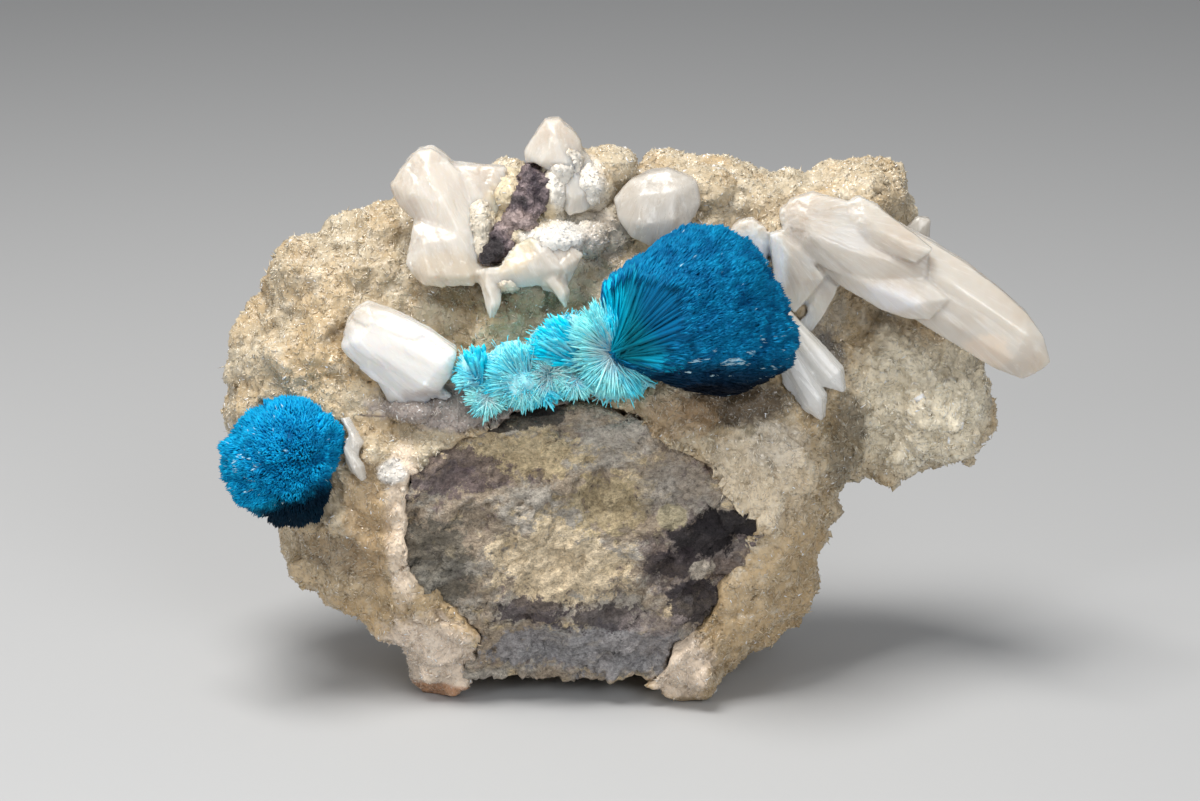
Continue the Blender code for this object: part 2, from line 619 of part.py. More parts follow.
def fuse(name, pieces, look, *cutters):
    """Joins crystals that grew together into one solid and trims its foot to the crust."""
    first = pieces[0]
    for other in pieces[1:]:
        combine(first, other, "UNION")
        remove(other)
    for cutter in cutters:
        combine(first, cutter, "DIFFERENCE")
    first.name = name
    first.data.name = name
    first.data.materials.clear()
    first.data.materials.append(look)
    return first


def slice_off(piece, point, normal):
    """Cuts the piece by a plane and closes the cut; the side that the normal points to is removed."""
    shape = bmesh.new()
    shape.from_mesh(piece.data)
    geometry = shape.verts[:] + shape.edges[:] + shape.faces[:]
    cut = bmesh.ops.bisect_plane(
        shape, geom=geometry, plane_co=Vector(point) * MM, plane_no=Vector(normal).normalized(),
        clear_outer=True,
    )
    rim = [part for part in cut["geom_cut"] if isinstance(part, bmesh.types.BMEdge)]
    bmesh.ops.edgenet_fill(shape, edges=rim)
    bmesh.ops.recalc_face_normals(shape, faces=shape.faces)
    shape.to_mesh(piece.data)
    shape.free()
    return piece


def make_cavansite(look, pale_look, crust_skin):
    """The two blue balls and the pale band. Gives back a helper copy of the large ball, with the gap."""
    large = burr(BALL_OUTLINE, *BALL_DEPTHS, 3, 0.075, 5)
    slice_off(large, BALL_HEART, BALL_BREAK_NORMAL)
    large = fuse("cavansite_large_ball", [large], look, crust_skin)
    large_skin = grown(large, GAP)
    sprays = []
    for k, (depth, outline) in enumerate(SPRAYS):
        sprays.append(burr(outline, depth, *SPRAY_SWELL, 2, 0.16, 11 + k))
    fuse("cavansite_spray_band", sprays, pale_look, crust_skin, large_skin)
    small = burr(SMALL_BALL_OUTLINE, *SMALL_BALL_DEPTHS, 3, 0.085, 23)
    fuse("cavansite_small_ball", [small], look, crust_skin)
    return large_skin


def make_stilbite(look, crust_skin, ball_skin):
    """The white crystals, each group that grew together as one solid."""
    groups = {
        "stilbite_right_cluster": [LONG, FAN, FAN_EAR, FAN_WING, TABLE, TABLE_SIDE, PALE_BLADE],
        "stilbite_back_tip": [BACK_TIP],
        "stilbite_left_cluster": [HORN, HORN_WING, APRON, APRON_RIGHT, *FINGERS],
        "stilbite_peak": [PEAK, PEAK_FOOT],
        "stilbite_round_blade": [ROUND_BLADE],
        "stilbite_left_block": [LEFT_BLOCK, LEFT_BLOCK_FOOT],
        "stilbite_sheaf": SHEAF,
        "stilbite_chips": CHIPS,
    }
    skins = [grown(bpy.data.objects[name], GAP) for name in ("basalt_sliver", "cavansite_small_ball")]
    for name, parts in groups.items():
        pieces = [crystal(**part) if isinstance(part, dict) else prism(*part) for part in parts]
        fuse(name, pieces, look, crust_skin, ball_skin, *skins)
    remove(*skins)


bpy.context.preferences.edit.use_global_undo = False
for old in list(bpy.data.objects):
    bpy.data.objects.remove(old)

crust_look = material("heulandite druse", (0.62, 0.53, 0.40), 0.55)
basalt_look = material("altered basalt", (0.27, 0.23, 0.19), 0.9)
sliver_look = material("dark basalt", (0.09, 0.07, 0.07), 0.8)
stilbite_look = material("white stilbite", (0.82, 0.78, 0.72), 0.35)
blue_look = material("deep blue cavansite", (0.005, 0.16, 0.36), 0.45)
pale_look = material("pale blue cavansite", (0.12, 0.48, 0.62), 0.5)

crust = make_crust(crust_look)
crust_skin = grown(crust, GAP)
ball_skin = make_cavansite(blue_look, pale_look, crust_skin)
fuse("basalt_sliver", [crystal(**SLIVER), crystal(**SLIVER_FOOT)], sliver_look, crust_skin)
make_stilbite(stilbite_look, crust_skin, ball_skin)

core_hole = core_prism(grow_outline(CORE_OUTLINE, GAP))
arch = arch_cutter()
below_floor = floor_cutter()
for cutter in (core_hole, arch, below_floor):
    combine(crust, cutter, "DIFFERENCE")
make_core(basalt_look)
remove(crust_skin, ball_skin, core_hole, arch, below_floor)

# The origin is the middle of the footprint, at the level of the feet.
corners = [corner.co for piece in bpy.data.objects for corner in piece.data.vertices]
middle = (np.max(corners, axis=0) + np.min(corners, axis=0)) / 2
for piece in bpy.data.objects:
    piece.data.transform(Matrix.Translation((-middle[0], -middle[1], 0)))
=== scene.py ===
# Cavansite on a zeolite crust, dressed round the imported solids.
# Lengths in the dictionaries are millimetres; x is right, y is away from the viewer, z is up.
import bmesh
import bpy
import numpy as np
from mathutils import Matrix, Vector


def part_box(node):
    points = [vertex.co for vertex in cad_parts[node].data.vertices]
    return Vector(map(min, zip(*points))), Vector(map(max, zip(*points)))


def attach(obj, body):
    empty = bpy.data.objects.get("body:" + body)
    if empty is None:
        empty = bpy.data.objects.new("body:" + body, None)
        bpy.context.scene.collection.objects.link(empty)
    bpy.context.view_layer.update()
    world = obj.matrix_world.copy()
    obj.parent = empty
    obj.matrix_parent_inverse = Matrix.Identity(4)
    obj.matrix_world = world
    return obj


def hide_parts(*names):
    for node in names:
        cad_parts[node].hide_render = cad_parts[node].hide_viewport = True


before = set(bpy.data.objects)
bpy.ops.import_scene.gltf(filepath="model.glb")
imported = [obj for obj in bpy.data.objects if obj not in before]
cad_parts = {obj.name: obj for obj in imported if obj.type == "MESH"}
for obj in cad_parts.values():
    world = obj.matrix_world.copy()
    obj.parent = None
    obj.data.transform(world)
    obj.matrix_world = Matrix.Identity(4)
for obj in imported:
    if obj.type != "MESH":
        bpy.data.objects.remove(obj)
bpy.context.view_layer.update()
mm = 0.001


# Noise worked out for whole arrays of points

def cornerValue(cell, seed):
    # a fixed random number from 0 to 1 for each whole-number cell: its three numbers times large
    # primes, added up, with the bits mixed
    mixed = cell @ np.array([73856093, 19349663, 83492791]) + seed * 668265263
    mixed = (mixed ^ (mixed >> 13)) * 1274126177
    return ((mixed ^ (mixed >> 16)) & 0xFFFFFF) / 0xFFFFFF


def softNoise(points, size, seed):
    # from -1 to 1: the values of a cell's eight corners, blended along each axis by 3t^2 - 2t^3
    spot = points / size
    cell = np.floor(spot).astype(np.int64)
    t = spot - cell
    t = t * t * (3 - 2 * t)
    total = np.zeros(len(points))
    for corner in np.ndindex(2, 2, 2):
        share = np.prod(np.where(corner, t, 1 - t), axis=1)
        total += share * cornerValue(cell + corner, seed)
    return 2 * total - 1


def layeredNoise(points, size, layers, seed):
    # soft noise added up, each layer half as large and half as high as the one before
    return sum(softNoise(points, size / 2**k, seed + 17 * k) / 2**k for k in range(layers))


def cellNoise(points, size, seed):
    # one random spot in each cell of a grid: how far the nearest one is in cells, its own random
    # number, and the height there of a plane through it that is tilted at random
    spot = points / size
    cell = np.floor(spot).astype(np.int64)
    nearest = np.full(len(points), 9.0)
    owner, offset = np.zeros(cell.shape, np.int64), np.zeros(cell.shape)
    for step in np.ndindex(3, 3, 3):
        near = cell + step - 1
        away = spot - near - np.stack([cornerValue(near, seed + k) for k in range(3)], axis=1)
        length = np.linalg.norm(away, axis=1)
        closer = (length < nearest)[:, None]
        nearest = np.minimum(nearest, length)
        owner, offset = np.where(closer, near, owner), np.where(closer, away, offset)
    tilt = np.stack([cornerValue(owner, seed + k) for k in (4, 5, 6)], axis=1) * 2 - 1
    return nearest, cornerValue(owner, seed + 3), np.sum(tilt * offset, axis=1)


def blocky(points, facets):
    # cells of several sizes, each one adding height * (0.45 - d + tilt * plane), with d the distance
    # to the cell's middle and plane the height of its own tilted plane
    move = np.zeros(len(points))
    for size, height, tilt, seed in facets:
        away, own, plane = cellNoise(points, size, seed)
        move += height * (0.45 - away + tilt * plane)
    return move


def unit(rows):
    return rows / np.maximum(np.linalg.norm(rows, axis=1), 1e-9)[:, None]


def nearTo(points, centre, radii):
    # 1 at the centre of an ellipsoid, falling off as exp(-d^2) with the distance d in its radii
    return np.exp(-np.sum(((points - centre) / radii) ** 2, axis=1))


# Meshes in and out

def readRows(items, title):
    # three numbers for each point, normal or face
    flat = np.empty(len(items) * 3, np.float32)
    items.foreach_get(title, flat)
    return flat.reshape(-1, 3).astype(float)


def readPoints(mesh):
    return readRows(mesh.vertices, "co") / mm


def readNormals(mesh):
    return readRows(mesh.vertex_normals, "vector")


def writePoints(mesh, points):
    mesh.vertices.foreach_set("co", (points * mm).astype(np.float32).ravel())
    mesh.update()


def newPiece(name, data):
    piece = bpy.data.objects.new(name, data)
    bpy.context.scene.collection.objects.link(piece)
    return piece


def keepValues(mesh, title, numbers):
    # a number for each point, which the materials read by its title
    wide = np.broadcast_to(numbers, len(mesh.vertices)).astype(np.float32)
    mesh.attributes.new(title, "FLOAT", "POINT").data.foreach_set("value", wide)


def fineCopy(node, name, voxel, smoothing):
    # a copy of a CAD node, welded, cut into even small faces of this size, and smoothed; its mesh
    # becomes what its modifiers make of it
    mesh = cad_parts[node].data.copy()
    welded = bmesh.new()
    welded.from_mesh(mesh)
    bmesh.ops.remove_doubles(welded, verts=welded.verts, dist=0.002 * mm)
    welded.to_mesh(mesh)
    welded.free()
    piece = newPiece(name, mesh)
    skin = piece.modifiers.new("skin", "REMESH")
    skin.mode = "VOXEL"
    skin.voxel_size = voxel * mm
    soft = piece.modifiers.new("soft", "SMOOTH")
    soft.factor = 0.5
    soft.iterations = smoothing
    bpy.context.view_layer.update()
    graph = bpy.context.evaluated_depsgraph_get()
    settled = bpy.data.meshes.new_from_object(piece.evaluated_get(graph))
    piece.modifiers.clear()
    piece.data = settled
    return piece


def cutFiner(piece, picked):
    # halves the edges of the picked faces, a true or false for each face
    fine = bmesh.new()
    fine.from_mesh(piece.data)
    faces = [face for face, pick in zip(fine.faces, picked) if pick]
    edges = list({edge for face in faces for edge in face.edges})
    bmesh.ops.subdivide_edges(fine, edges=edges, cuts=1, use_grid_fill=True)
    fine.to_mesh(piece.data)
    fine.free()


def shadeSmooth(piece):
    piece.data.polygons.foreach_set("use_smooth", np.full(len(piece.data.polygons), True))
    piece.data.update()


def dress(piece, node, look):
    piece.data.materials.clear()
    piece.data.materials.append(look)
    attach(piece, "root")
    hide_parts(node)
    return piece


def scatter(name, shape, spots, axes, sizes, **values):
    # one copy of the small shape at each spot: spot + sum over k of corner[k] * size[k] * axis[k];
    # each value is kept on the corners, a number a copy or a number a corner
    corners, *faceSets = shape
    points = spots[:, None] + np.einsum("vk,nk,nkj->nvj", corners, sizes, axes)
    first = np.arange(len(spots))[:, None, None] * len(corners)
    corner = [(first + faces).reshape(-1, faces.shape[1]) for faces in faceSets]
    mesh = bpy.data.meshes.new(name)
    mesh.vertices.add(points.size // 3)
    mesh.vertices.foreach_set("co", (points * mm).astype(np.float32).ravel())
    loops = np.concatenate([part.ravel() for part in corner])
    counts = np.concatenate([np.full(len(part), part.shape[1]) for part in corner])
    mesh.loops.add(len(loops))
    mesh.loops.foreach_set("vertex_index", loops.astype(np.int32))
    mesh.polygons.add(len(counts))
    mesh.polygons.foreach_set("loop_start", (np.cumsum(counts) - counts).astype(np.int32))
    mesh.update(calc_edges=True)
    for title, numbers in values.items():
        keepValues(mesh, title, np.broadcast_to(numbers, points.shape[:2]).ravel())
    return newPiece(name, mesh)


def spread(mesh, spacing, random):
    # places on the faces, chosen by area, then the first one in each cell of a grid of this spacing;
    # gives back the places and their face normals
    mesh.calc_loop_triangles()
    count = len(mesh.loop_triangles)
    corners = np.empty(count * 3, np.int32)
    mesh.loop_triangles.foreach_get("vertices", corners)
    corners = readPoints(mesh)[corners.reshape(-1, 3)]
    cross = np.cross(corners[:, 1] - corners[:, 0], corners[:, 2] - corners[:, 0])
    area = np.linalg.norm(cross, axis=1) / 2
    wanted = int(5 * area.sum() / spacing**2)
    chosen = random.choice(count, wanted, p=area / area.sum())
    u, v = random.random((2, wanted))
    u, v = np.where(u + v > 1, 1 - u, u), np.where(u + v > 1, 1 - v, v)
    a, b, c = (corners[chosen, k] for k in range(3))
    places = a + u[:, None] * (b - a) + v[:, None] * (c - a)
    first = np.unique(np.floor(places / spacing).astype(np.int64), axis=0, return_index=True)[1]
    return places[first], unit(cross[chosen[first]])


def turnedAxes(along, spin, tilt=None):
    # width, thickness and length axes for each row: length along the row, leant over by the tilt
    # vector, and the width turned round it by the spin
    along = unit(along if tilt is None else along + tilt)
    side = np.where(np.abs(along[:, 2:]) < 0.9, [[0.0, 0.0, 1.0]], [[1.0, 0.0, 0.0]])
    first = unit(np.cross(along, side))
    other = np.cross(along, first)
    wide = np.cos(spin)[:, None] * first + np.sin(spin)[:, None] * other
    return np.stack([wide, np.cross(along, wide), along], axis=1)


# Small shapes that are scattered: corners, then faces of four and of three corners

plateShape = (
    np.array([
        (-0.5, 0, 0.42), (0, -0.5, 0.5), (0.5, 0, 0.34), (0, 0.5, 0.46), (0.08, 0, 1.0), (0, 0, -0.3),
    ]),
    np.array([(0, 1, 4), (1, 2, 4), (2, 3, 4), (3, 0, 4), (1, 0, 5), (2, 1, 5), (3, 2, 5), (0, 3, 5)]),
)
tipShape = (
    np.array([(-0.5, 0, 0.7), (0, -0.5, 0.76), (0.5, 0, 0.8), (0, 0.5, 0.72), (0.12, 0, 1.0), (0, 0, 0)]),
    plateShape[1],
)
bladeShape = (
    np.array([
        (-0.2, 0, 0), (0, -0.2, 0), (0.2, 0, 0), (0, 0.2, 0),
        (-0.5, 0, 0.84), (0, -0.5, 0.86), (0.5, 0, 0.9), (0, 0.5, 0.88), (0.16, 0, 1.0),
    ]),
    np.array([(3, 2, 1, 0), (0, 1, 5, 4), (1, 2, 6, 5), (2, 3, 7, 6), (3, 0, 4, 7)]),
    np.array([(4, 5, 8), (5, 6, 8), (6, 7, 8), (7, 4, 8)]),
)
needleShape = (
    np.array([(-0.5, -0.3, 0.3), (0.5, -0.3, 0.3), (0, 0.6, 0.3), (0, 0, 0), (0, 0, 1.0)]),
    np.array([(1, 0, 3), (2, 1, 3), (0, 2, 3), (0, 1, 4), (1, 2, 4), (2, 0, 4)]),
)


def ballShape(rows, around):
    # a unit ball: (cos v cos u, cos v sin u, sin v) for rows of v and a ring of u, closed at both poles
    v = np.linspace(-np.pi / 2, np.pi / 2, rows + 2)[1:-1]
    v, u = np.meshgrid(v, np.arange(around) * 2 * np.pi / around, indexing="ij")
    corners = np.stack([np.cos(v) * np.cos(u), np.cos(v) * np.sin(u), np.sin(v)], axis=-1).reshape(-1, 3)
    first = np.arange(rows * around).reshape(rows, around)
    following = np.roll(first, -1, axis=1)
    quads = np.stack([first[:-1], following[:-1], following[1:], first[1:]], axis=-1).reshape(-1, 4)
    low, high = np.full(around, len(corners)), np.full(around, len(corners) + 1)
    south = np.stack([low, following[0], first[0]], axis=1)
    north = np.stack([high, first[-1], following[-1]], axis=1)
    return np.vstack([corners, (0, 0, -1), (0, 0, 1)]), quads, np.vstack([south, north])


# Materials: a node with its settings and sockets, then effects that more than one of them uses

def wire(tree, kind, sockets=None, **settings):
    made = tree.nodes.new("ShaderNode" + kind)
    for key, value in settings.items():
        setattr(made, key, value)
    for key, value in (sockets or {}).items():
        if isinstance(value, bpy.types.NodeSocket):
            tree.links.new(value, made.inputs[key])
        else:
            isColour = made.inputs[key].type == "RGBA"
            made.inputs[key].default_value = (*value, 1.0) if isColour else value
    return made


def mixColours(tree, share, first, second, kind="MIX"):
    made = wire(tree, "Mix", {0: share, 6: first, 7: second}, data_type="RGBA", blend_type=kind)
    return made.outputs[2]


def feed(tree, node, **made):
    for title, socket in made.items():
        tree.links.new(socket, node.inputs[title.replace("_", " ")])


def maths(tree, operation, *values):
    return wire(tree, "Math", dict(enumerate(values)), operation=operation).outputs[0]


def objectCoords(tree):
    return wire(tree, "TexCoord").outputs["Object"]


def kept(tree, title, out="Fac"):
    # a value that the mesh keeps on its points
    return wire(tree, "Attribute", attribute_name=title).outputs[out]


def shaded(tree, base, share):
    # the colour times one number
    grey = wire(tree, "CombineColor", {0: share, 1: share, 2: share}).outputs[0]
    return mixColours(tree, 1.0, base, grey, "MULTIPLY")


def noiseMask(tree, where, size, low, high, detail=4.0, roughness=0.6):
    # noise of this size in millimetres, spread so that low is 0 and high is 1
    grain = wire(tree, "TexNoise", {
        "Vector": where, "Scale": 1 / (size * mm), "Detail": detail, "Roughness": roughness,
    })
    return ranged(tree, grain.outputs["Fac"], low, high)


def newGroup(name, inputs, outputs):
    group = bpy.data.node_groups.new(name, "ShaderNodeTree")
    for title, kind in inputs:
        group.interface.new_socket(title, in_out="INPUT", socket_type="NodeSocket" + kind)
    for title, kind in outputs:
        group.interface.new_socket(title, in_out="OUTPUT", socket_type="NodeSocket" + kind)
    return group, group.nodes.new("NodeGroupInput"), group.nodes.new("NodeGroupOutput")


def makePatchGroup():
    # 1 inside an ellipsoid and 0 outside, its edge pushed about by the ragged noise
    group, given, result = newGroup("patch", [
        ("Centre", "Vector"), ("Radii", "Vector"),
        ("Wobble", "Float"), ("Ragged", "Float"), ("Soft", "Float"),
    ], [("Mask", "Float")])
    where = objectCoords(group)
    offset = wire(group, "VectorMath", {0: where, 1: given.outputs["Centre"]}, operation="SUBTRACT")
    scaled = wire(group, "VectorMath", {0: offset.outputs[0], 1: given.outputs["Radii"]}, operation="DIVIDE")
    reach = wire(group, "VectorMath", {0: scaled.outputs[0]}, operation="LENGTH").outputs["Value"]
    push = maths(group, "MULTIPLY_ADD", given.outputs["Ragged"], given.outputs["Wobble"], reach)
    outer, inner = (maths(group, way, 0.92, given.outputs["Soft"]) for way in ("ADD", "SUBTRACT"))
    soft = wire(group, "MapRange", {
        "Value": push, "From Min": outer, "From Max": inner,
    }, interpolation_type="SMOOTHSTEP")
    feed(group, result, Mask=soft.outputs[0])
    return group


def paintPatches(tree, base, patches, soft=0.2, wilder=1.0):
    # each patch is its centre, radii, wobble, strength and colour, laid over the colour before it;
    # soft is how wide its edge is, and wilder multiplies its wobble
    noise = wire(tree, "TexNoise", {
        "Vector": objectCoords(tree), "Scale": 900.0, "Detail": 7.0, "Roughness": 0.72,
    }).outputs["Fac"]
    ragged = maths(tree, "SUBTRACT", noise, 0.5)
    for centre, radii, wobble, strength, tint in patches:
        mask = wire(tree, "Group", {
            "Ragged": ragged, "Centre": [v * mm for v in centre], "Radii": [v * mm for v in radii],
            "Wobble": wilder * wobble, "Soft": soft,
        }, node_tree=patchGroup)
        base = mixColours(tree, maths(tree, "MULTIPLY", mask.outputs["Mask"], strength), base, tint)
    return base


def makeGrainGroup():
    # height of a fine grain: noise of two sizes, given in millimetres
    sizes = [("Coarse", "Float"), ("Fine", "Float")]
    group, given, result = newGroup("grain", sizes, [("Height", "Float")])
    where = objectCoords(group)
    heights = []
    for title in ("Coarse", "Fine"):
        rate = maths(group, "DIVIDE", 1 / mm, given.outputs[title])
        grain = wire(group, "TexNoise", {"Vector": where, "Scale": rate, "Detail": 3.0})
        heights.append(grain.outputs["Fac"])
    feed(group, result, Height=maths(group, "MULTIPLY_ADD", heights[0], 0.6, heights[1]))
    return group


def makeFacetGroup():
    # tiny crystal faces: every random cell has a plane tilted its own way, height = tilt . (place -
    # middle of the cell), and a random number of its own
    group, given, result = newGroup("facets", [("Size", "Float")], [("Height", "Float"), ("Own", "Float")])
    rate = maths(group, "DIVIDE", 1 / mm, given.outputs["Size"])
    scaled = wire(group, "VectorMath", {0: objectCoords(group), "Scale": rate}, operation="SCALE").outputs[0]
    cells = wire(group, "TexVoronoi", {"Vector": scaled, "Scale": 1.0})
    offset, tilt = (
        wire(group, "VectorMath", {0: first, 1: second}, operation="SUBTRACT").outputs[0]
        for first, second in ((scaled, cells.outputs["Position"]), (cells.outputs["Color"], (0.5, 0.5, 0.5)))
    )
    plane = wire(group, "VectorMath", {0: offset, 1: tilt}, operation="DOT_PRODUCT").outputs["Value"]
    own = wire(group, "SeparateColor", {0: cells.outputs["Color"]}).outputs[2]
    feed(group, result, Height=plane, Own=own)
    return group


def newLook(name, **plain):
    # a material with its Principled shader; the plain values are the same all over
    look = bpy.data.materials.new(name)
    look.use_nodes = True
    tree = look.node_tree
    shader = tree.nodes["Principled BSDF"]
    for title, value in plain.items():
        shader.inputs[title.replace("_", " ")].default_value = value
    return look, tree, shader


def blend(tree, first, share, second):
    # first * share + second, for masks and heights
    return maths(tree, "MULTIPLY_ADD", first, share, second)


def ranged(tree, value, low, high, bottom=0.0, top=1.0):
    # the value spread so that low gives bottom and high gives top
    return wire(tree, "MapRange", {
        "Value": value, "From Min": low, "From Max": high, "To Min": bottom, "To Max": top,
    }).outputs[0]


def addBump(tree, shader, height, strength, depth):
    bump = wire(tree, "Bump", {"Height": height, "Strength": strength, "Distance": depth * mm})
    feed(tree, shader, Normal=bump.outputs["Normal"])


def grainHeight(tree, coarse, fine):
    return wire(tree, "Group", {"Coarse": coarse, "Fine": fine}, node_tree=grainGroup).outputs["Height"]


def crystalFaces(tree, size):
    made = wire(tree, "Group", {"Size": size}, node_tree=facetGroup)
    return made.outputs["Height"], made.outputs["Own"]


patchGroup = makePatchGroup()
grainGroup = makeGrainGroup()
facetGroup = makeFacetGroup()

# Colours of the crust, by place: the druse is cream above, tan and brown below, with painted shade in
# hollows, in seams and under the crystals and balls
crustColours = dict(
    cream=(0.68, 0.58, 0.42),
    tan=(0.64, 0.485, 0.29),
    honey=(0.56, 0.385, 0.19),
    pale=(0.88, 0.81, 0.67),
    low=(0.60, 0.415, 0.215),
    dirt=(0.34, 0.25, 0.15),
    # edge is painted light at the tips of the druse plates, and glint is painted glints
    edge=(0.97, 0.91, 0.78),
    glint=(1.0, 0.99, 0.97),
    # the shift range also carries painted shade and light: sunk faces and plate feet darker, raised faces
    # and plate tips lighter
    shift=(0.71, 1.2),  # darkest and lightest crystal face
    faces=(0.62, 0.24), bump=0.28, cloudSize=4.5, dirtSize=1.3, dirtShare=0.58,
    upper=(26, 37, 0.5), lower=(17, 6, 0.7),  # from z, to z, and the share of cream or low there
    clumps=[("honey", 2.4, 0.53, 0.66), ("pale", 1.2, 0.55, 0.5)],  # size, start in the noise, share
    patches=[
        ((-7.5, -3, 34.8), (7.4, 9, 5.2), 0.8, 0.75, (0.92, 0.85, 0.72)),  # whitish upper druse
        ((-12.6, -7, 22.4), (7, 4, 1.9), 1, 0.85, (0.33, 0.285, 0.28)),  # purple-grey by the band
        # painted shadow: a dark line along the top of the core, under the overhang of the crust
        ((-4.8, -7, 22.7), (3.4, 4, 0.7), 0.8, 0.85, (0.13, 0.12, 0.12)),
        ((-7.4, -1, 35.3), (2.5, 6, 4.2), 1, 0.6, (0.86, 0.70, 0.42)),  # yellow round the sliver
        ((-3.6, -3, 37.4), (2.4, 6, 2.4), 0.9, 0.8, (0.98, 0.93, 0.85)),  # milky foot of the peak
        ((-4.6, -4, 33.4), (3.4, 6, 1.5), 0.9, 0.85, (0.93, 0.90, 0.85)),  # milky over the apron
        # painted shade in the hollow below the peak
        ((-1.4, -3, 33.4), (1.9, 6, 2.4), 1.2, 0.8, (0.54, 0.48, 0.41)),  # grey hollow below the peak
        # painted shade under the aprons, in this place and the next
        ((-10.6, -3, 29.5), (3.8, 6, 1.3), 1.1, 0.9, (0.20, 0.14, 0.07)),  # brown under the aprons
        ((-6.2, -3, 29.6), (2.2, 6, 1.5), 0.9, 0.7, (0.30, 0.22, 0.13)),
        ((-7.5, -4, 27.8), (6, 6, 2), 1.4, 0.4, (0.50, 0.38, 0.22)),  # tan hollow over the band
        ((24, -1, 22), (2.4, 6, 3.6), 0.8, 0.6, (1, 0.92, 0.72)),  # cream rim of the lump
        # painted shade in the hollow under the wing, in this place and the next
        ((17.4, -3, 27.4), (5.6, 4, 2.4), 1, 0.75, (0.40, 0.36, 0.30)),  # grey hollow under the wing
        ((14.3, -4, 24.8), (2.2, 4, 2.6), 1.2, 0.8, (0.13, 0.12, 0.115)),
        ((20.8, -1, 20.6), (5.8, 6, 5.6), 0.8, 0.85, (1, 0.90, 0.70)),  # pale round lump
        # painted shade in the seam left of the lump
        ((16, -3, 18.6), (1.8, 4, 4.8), 1.2, 0.8, (0.20, 0.155, 0.095)),  # dark seam left of the lump
        ((7.4, -6, 22.4), (4.8, 5, 1.7), 1, 0.9, (0.10, 0.065, 0.035)),  # brown shade under the ball
        ((3.6, -6, 21.8), (3.4, 4, 1.7), 1.4, 0.7, (0.42, 0.28, 0.15)),  # honey brown by the core
        ((9.2, -6, 17.2), (4.4, 5, 3.8), 1.2, 0.8, (1, 0.85, 0.63)),  # whitish below the ball
        ((12.8, -4, 13.4), (2.2, 5, 5), 1.3, 0.4, (0.56, 0.40, 0.22)),
        ((-15.6, -7, 14), (1.5, 4, 6.4), 0.7, 0.9, (1, 0.83, 0.65)),  # pinkish lip beside the core
        ((-18.2, -5, 14.4), (2, 6, 5.6), 1.2, 0.6, (0.56, 0.38, 0.20)),  # honey by the small ball
        ((-16.4, -6, 17.8), (1.1, 4, 1), 1, 0.8, (1, 0.97, 0.92)),  # white sugary places
        ((10.4, -5, 19.6), (2.4, 5, 1.7), 1.4, 0.55, (1, 0.89, 0.73)),
        ((3.6, -6, 3.4), (2.8, 6, 3), 1, 0.7, (0.96, 0.81, 0.67)),  # pinkish right foot
        ((-14, -5, 3.2), (4.2, 6, 4.2), 1.2, 0.75, (0.96, 0.82, 0.69)),  # pinkish white left foot
        ((-12.9, -5, 0.4), (3.4, 4, 1), 1, 0.8, (0.52, 0.23, 0.09)),  # rusty stain under it
        ((-20, -3, 11.4), (4, 5, 2), 1.2, 0.7, (0.24, 0.165, 0.09)),  # shade below the small ball
        ((-18, -6, 21.4), (1.2, 4, 0.10), 0.4, 0.55, (0.06, 0.04, 0.05)),  # crack by the small ball
        # painted shadow: a thin dark line under the edge of the wing
        ((17.2, -2, 28.5), (1, 4, 0.2), 0.9, 0.9, (0.03, 0.02, 0.015)),  # crack under the wing
    ],
)


def makeCrustTone():
    # cream and tan in clouds, honey and pale clumps in them, cream above, brown below, then the places, some
    # of which are painted shade
    group, given, result = newGroup("crust tone", [("Shift", "Float")], [("Color", "Color")])
    where = objectCoords(group)
    values = crustColours
    clouds = noiseMask(group, where, values["cloudSize"], 0.40, 0.60, 5.0)
    base = mixColours(group, clouds, values["tan"], values["cream"])
    height = wire(group, "SeparateXYZ", {0: where}).outputs[2]
    for title, tint in (("upper", "cream"), ("lower", "low")):
        start, end, share = values[title]
        here = ranged(group, height, start * mm, end * mm, 0.0, share)
        base = mixColours(group, here, base, values[tint])
    for title, size, start, share in values["clumps"]:
        clump = noiseMask(group, where, size, start, start + 0.12, 5.0)
        base = mixColours(group, maths(group, "MULTIPLY", clump, share), base, values[title])
    base = paintPatches(group, base, values["patches"])
    dirt = noiseMask(group, where, values["dirtSize"], 0.58, 0.8, 6.0, 0.7)
    base = mixColours(group, maths(group, "MULTIPLY", dirt, values["dirtShare"]), base, values["dirt"])
    base = shaded(group, base, ranged(group, given.outputs["Shift"], 0, 1, *values["shift"]))
    feed(group, result, Color=base)
    return group


crustToneGroup = makeCrustTone()


def makeCrustLook():
    # crystal faces of two sizes, each with its own lightness and gloss, and painted shade and light: darker
    # where the skin is sunk, lighter where it is raised
    look, tree, shader = newLook("zeolite crust", IOR=1.5)
    (coarse, coarseOwn), (fine, fineOwn) = (crystalFaces(tree, size) for size in crustColours["faces"])
    raised = blend(tree, kept(tree, "raised"), 0.75, -0.2)
    shift = blend(tree, coarseOwn, 0.3, blend(tree, fineOwn, 0.3, raised))
    tone = wire(tree, "Group", {"Shift": shift}, node_tree=crustToneGroup)
    feed(tree, shader, Base_Color=tone.outputs["Color"], Roughness=ranged(tree, fineOwn, 0, 1, 0.5, 0.06))
    addBump(tree, shader, blend(tree, coarse, 2.0, fine), 0.6, crustColours["bump"])
    return look


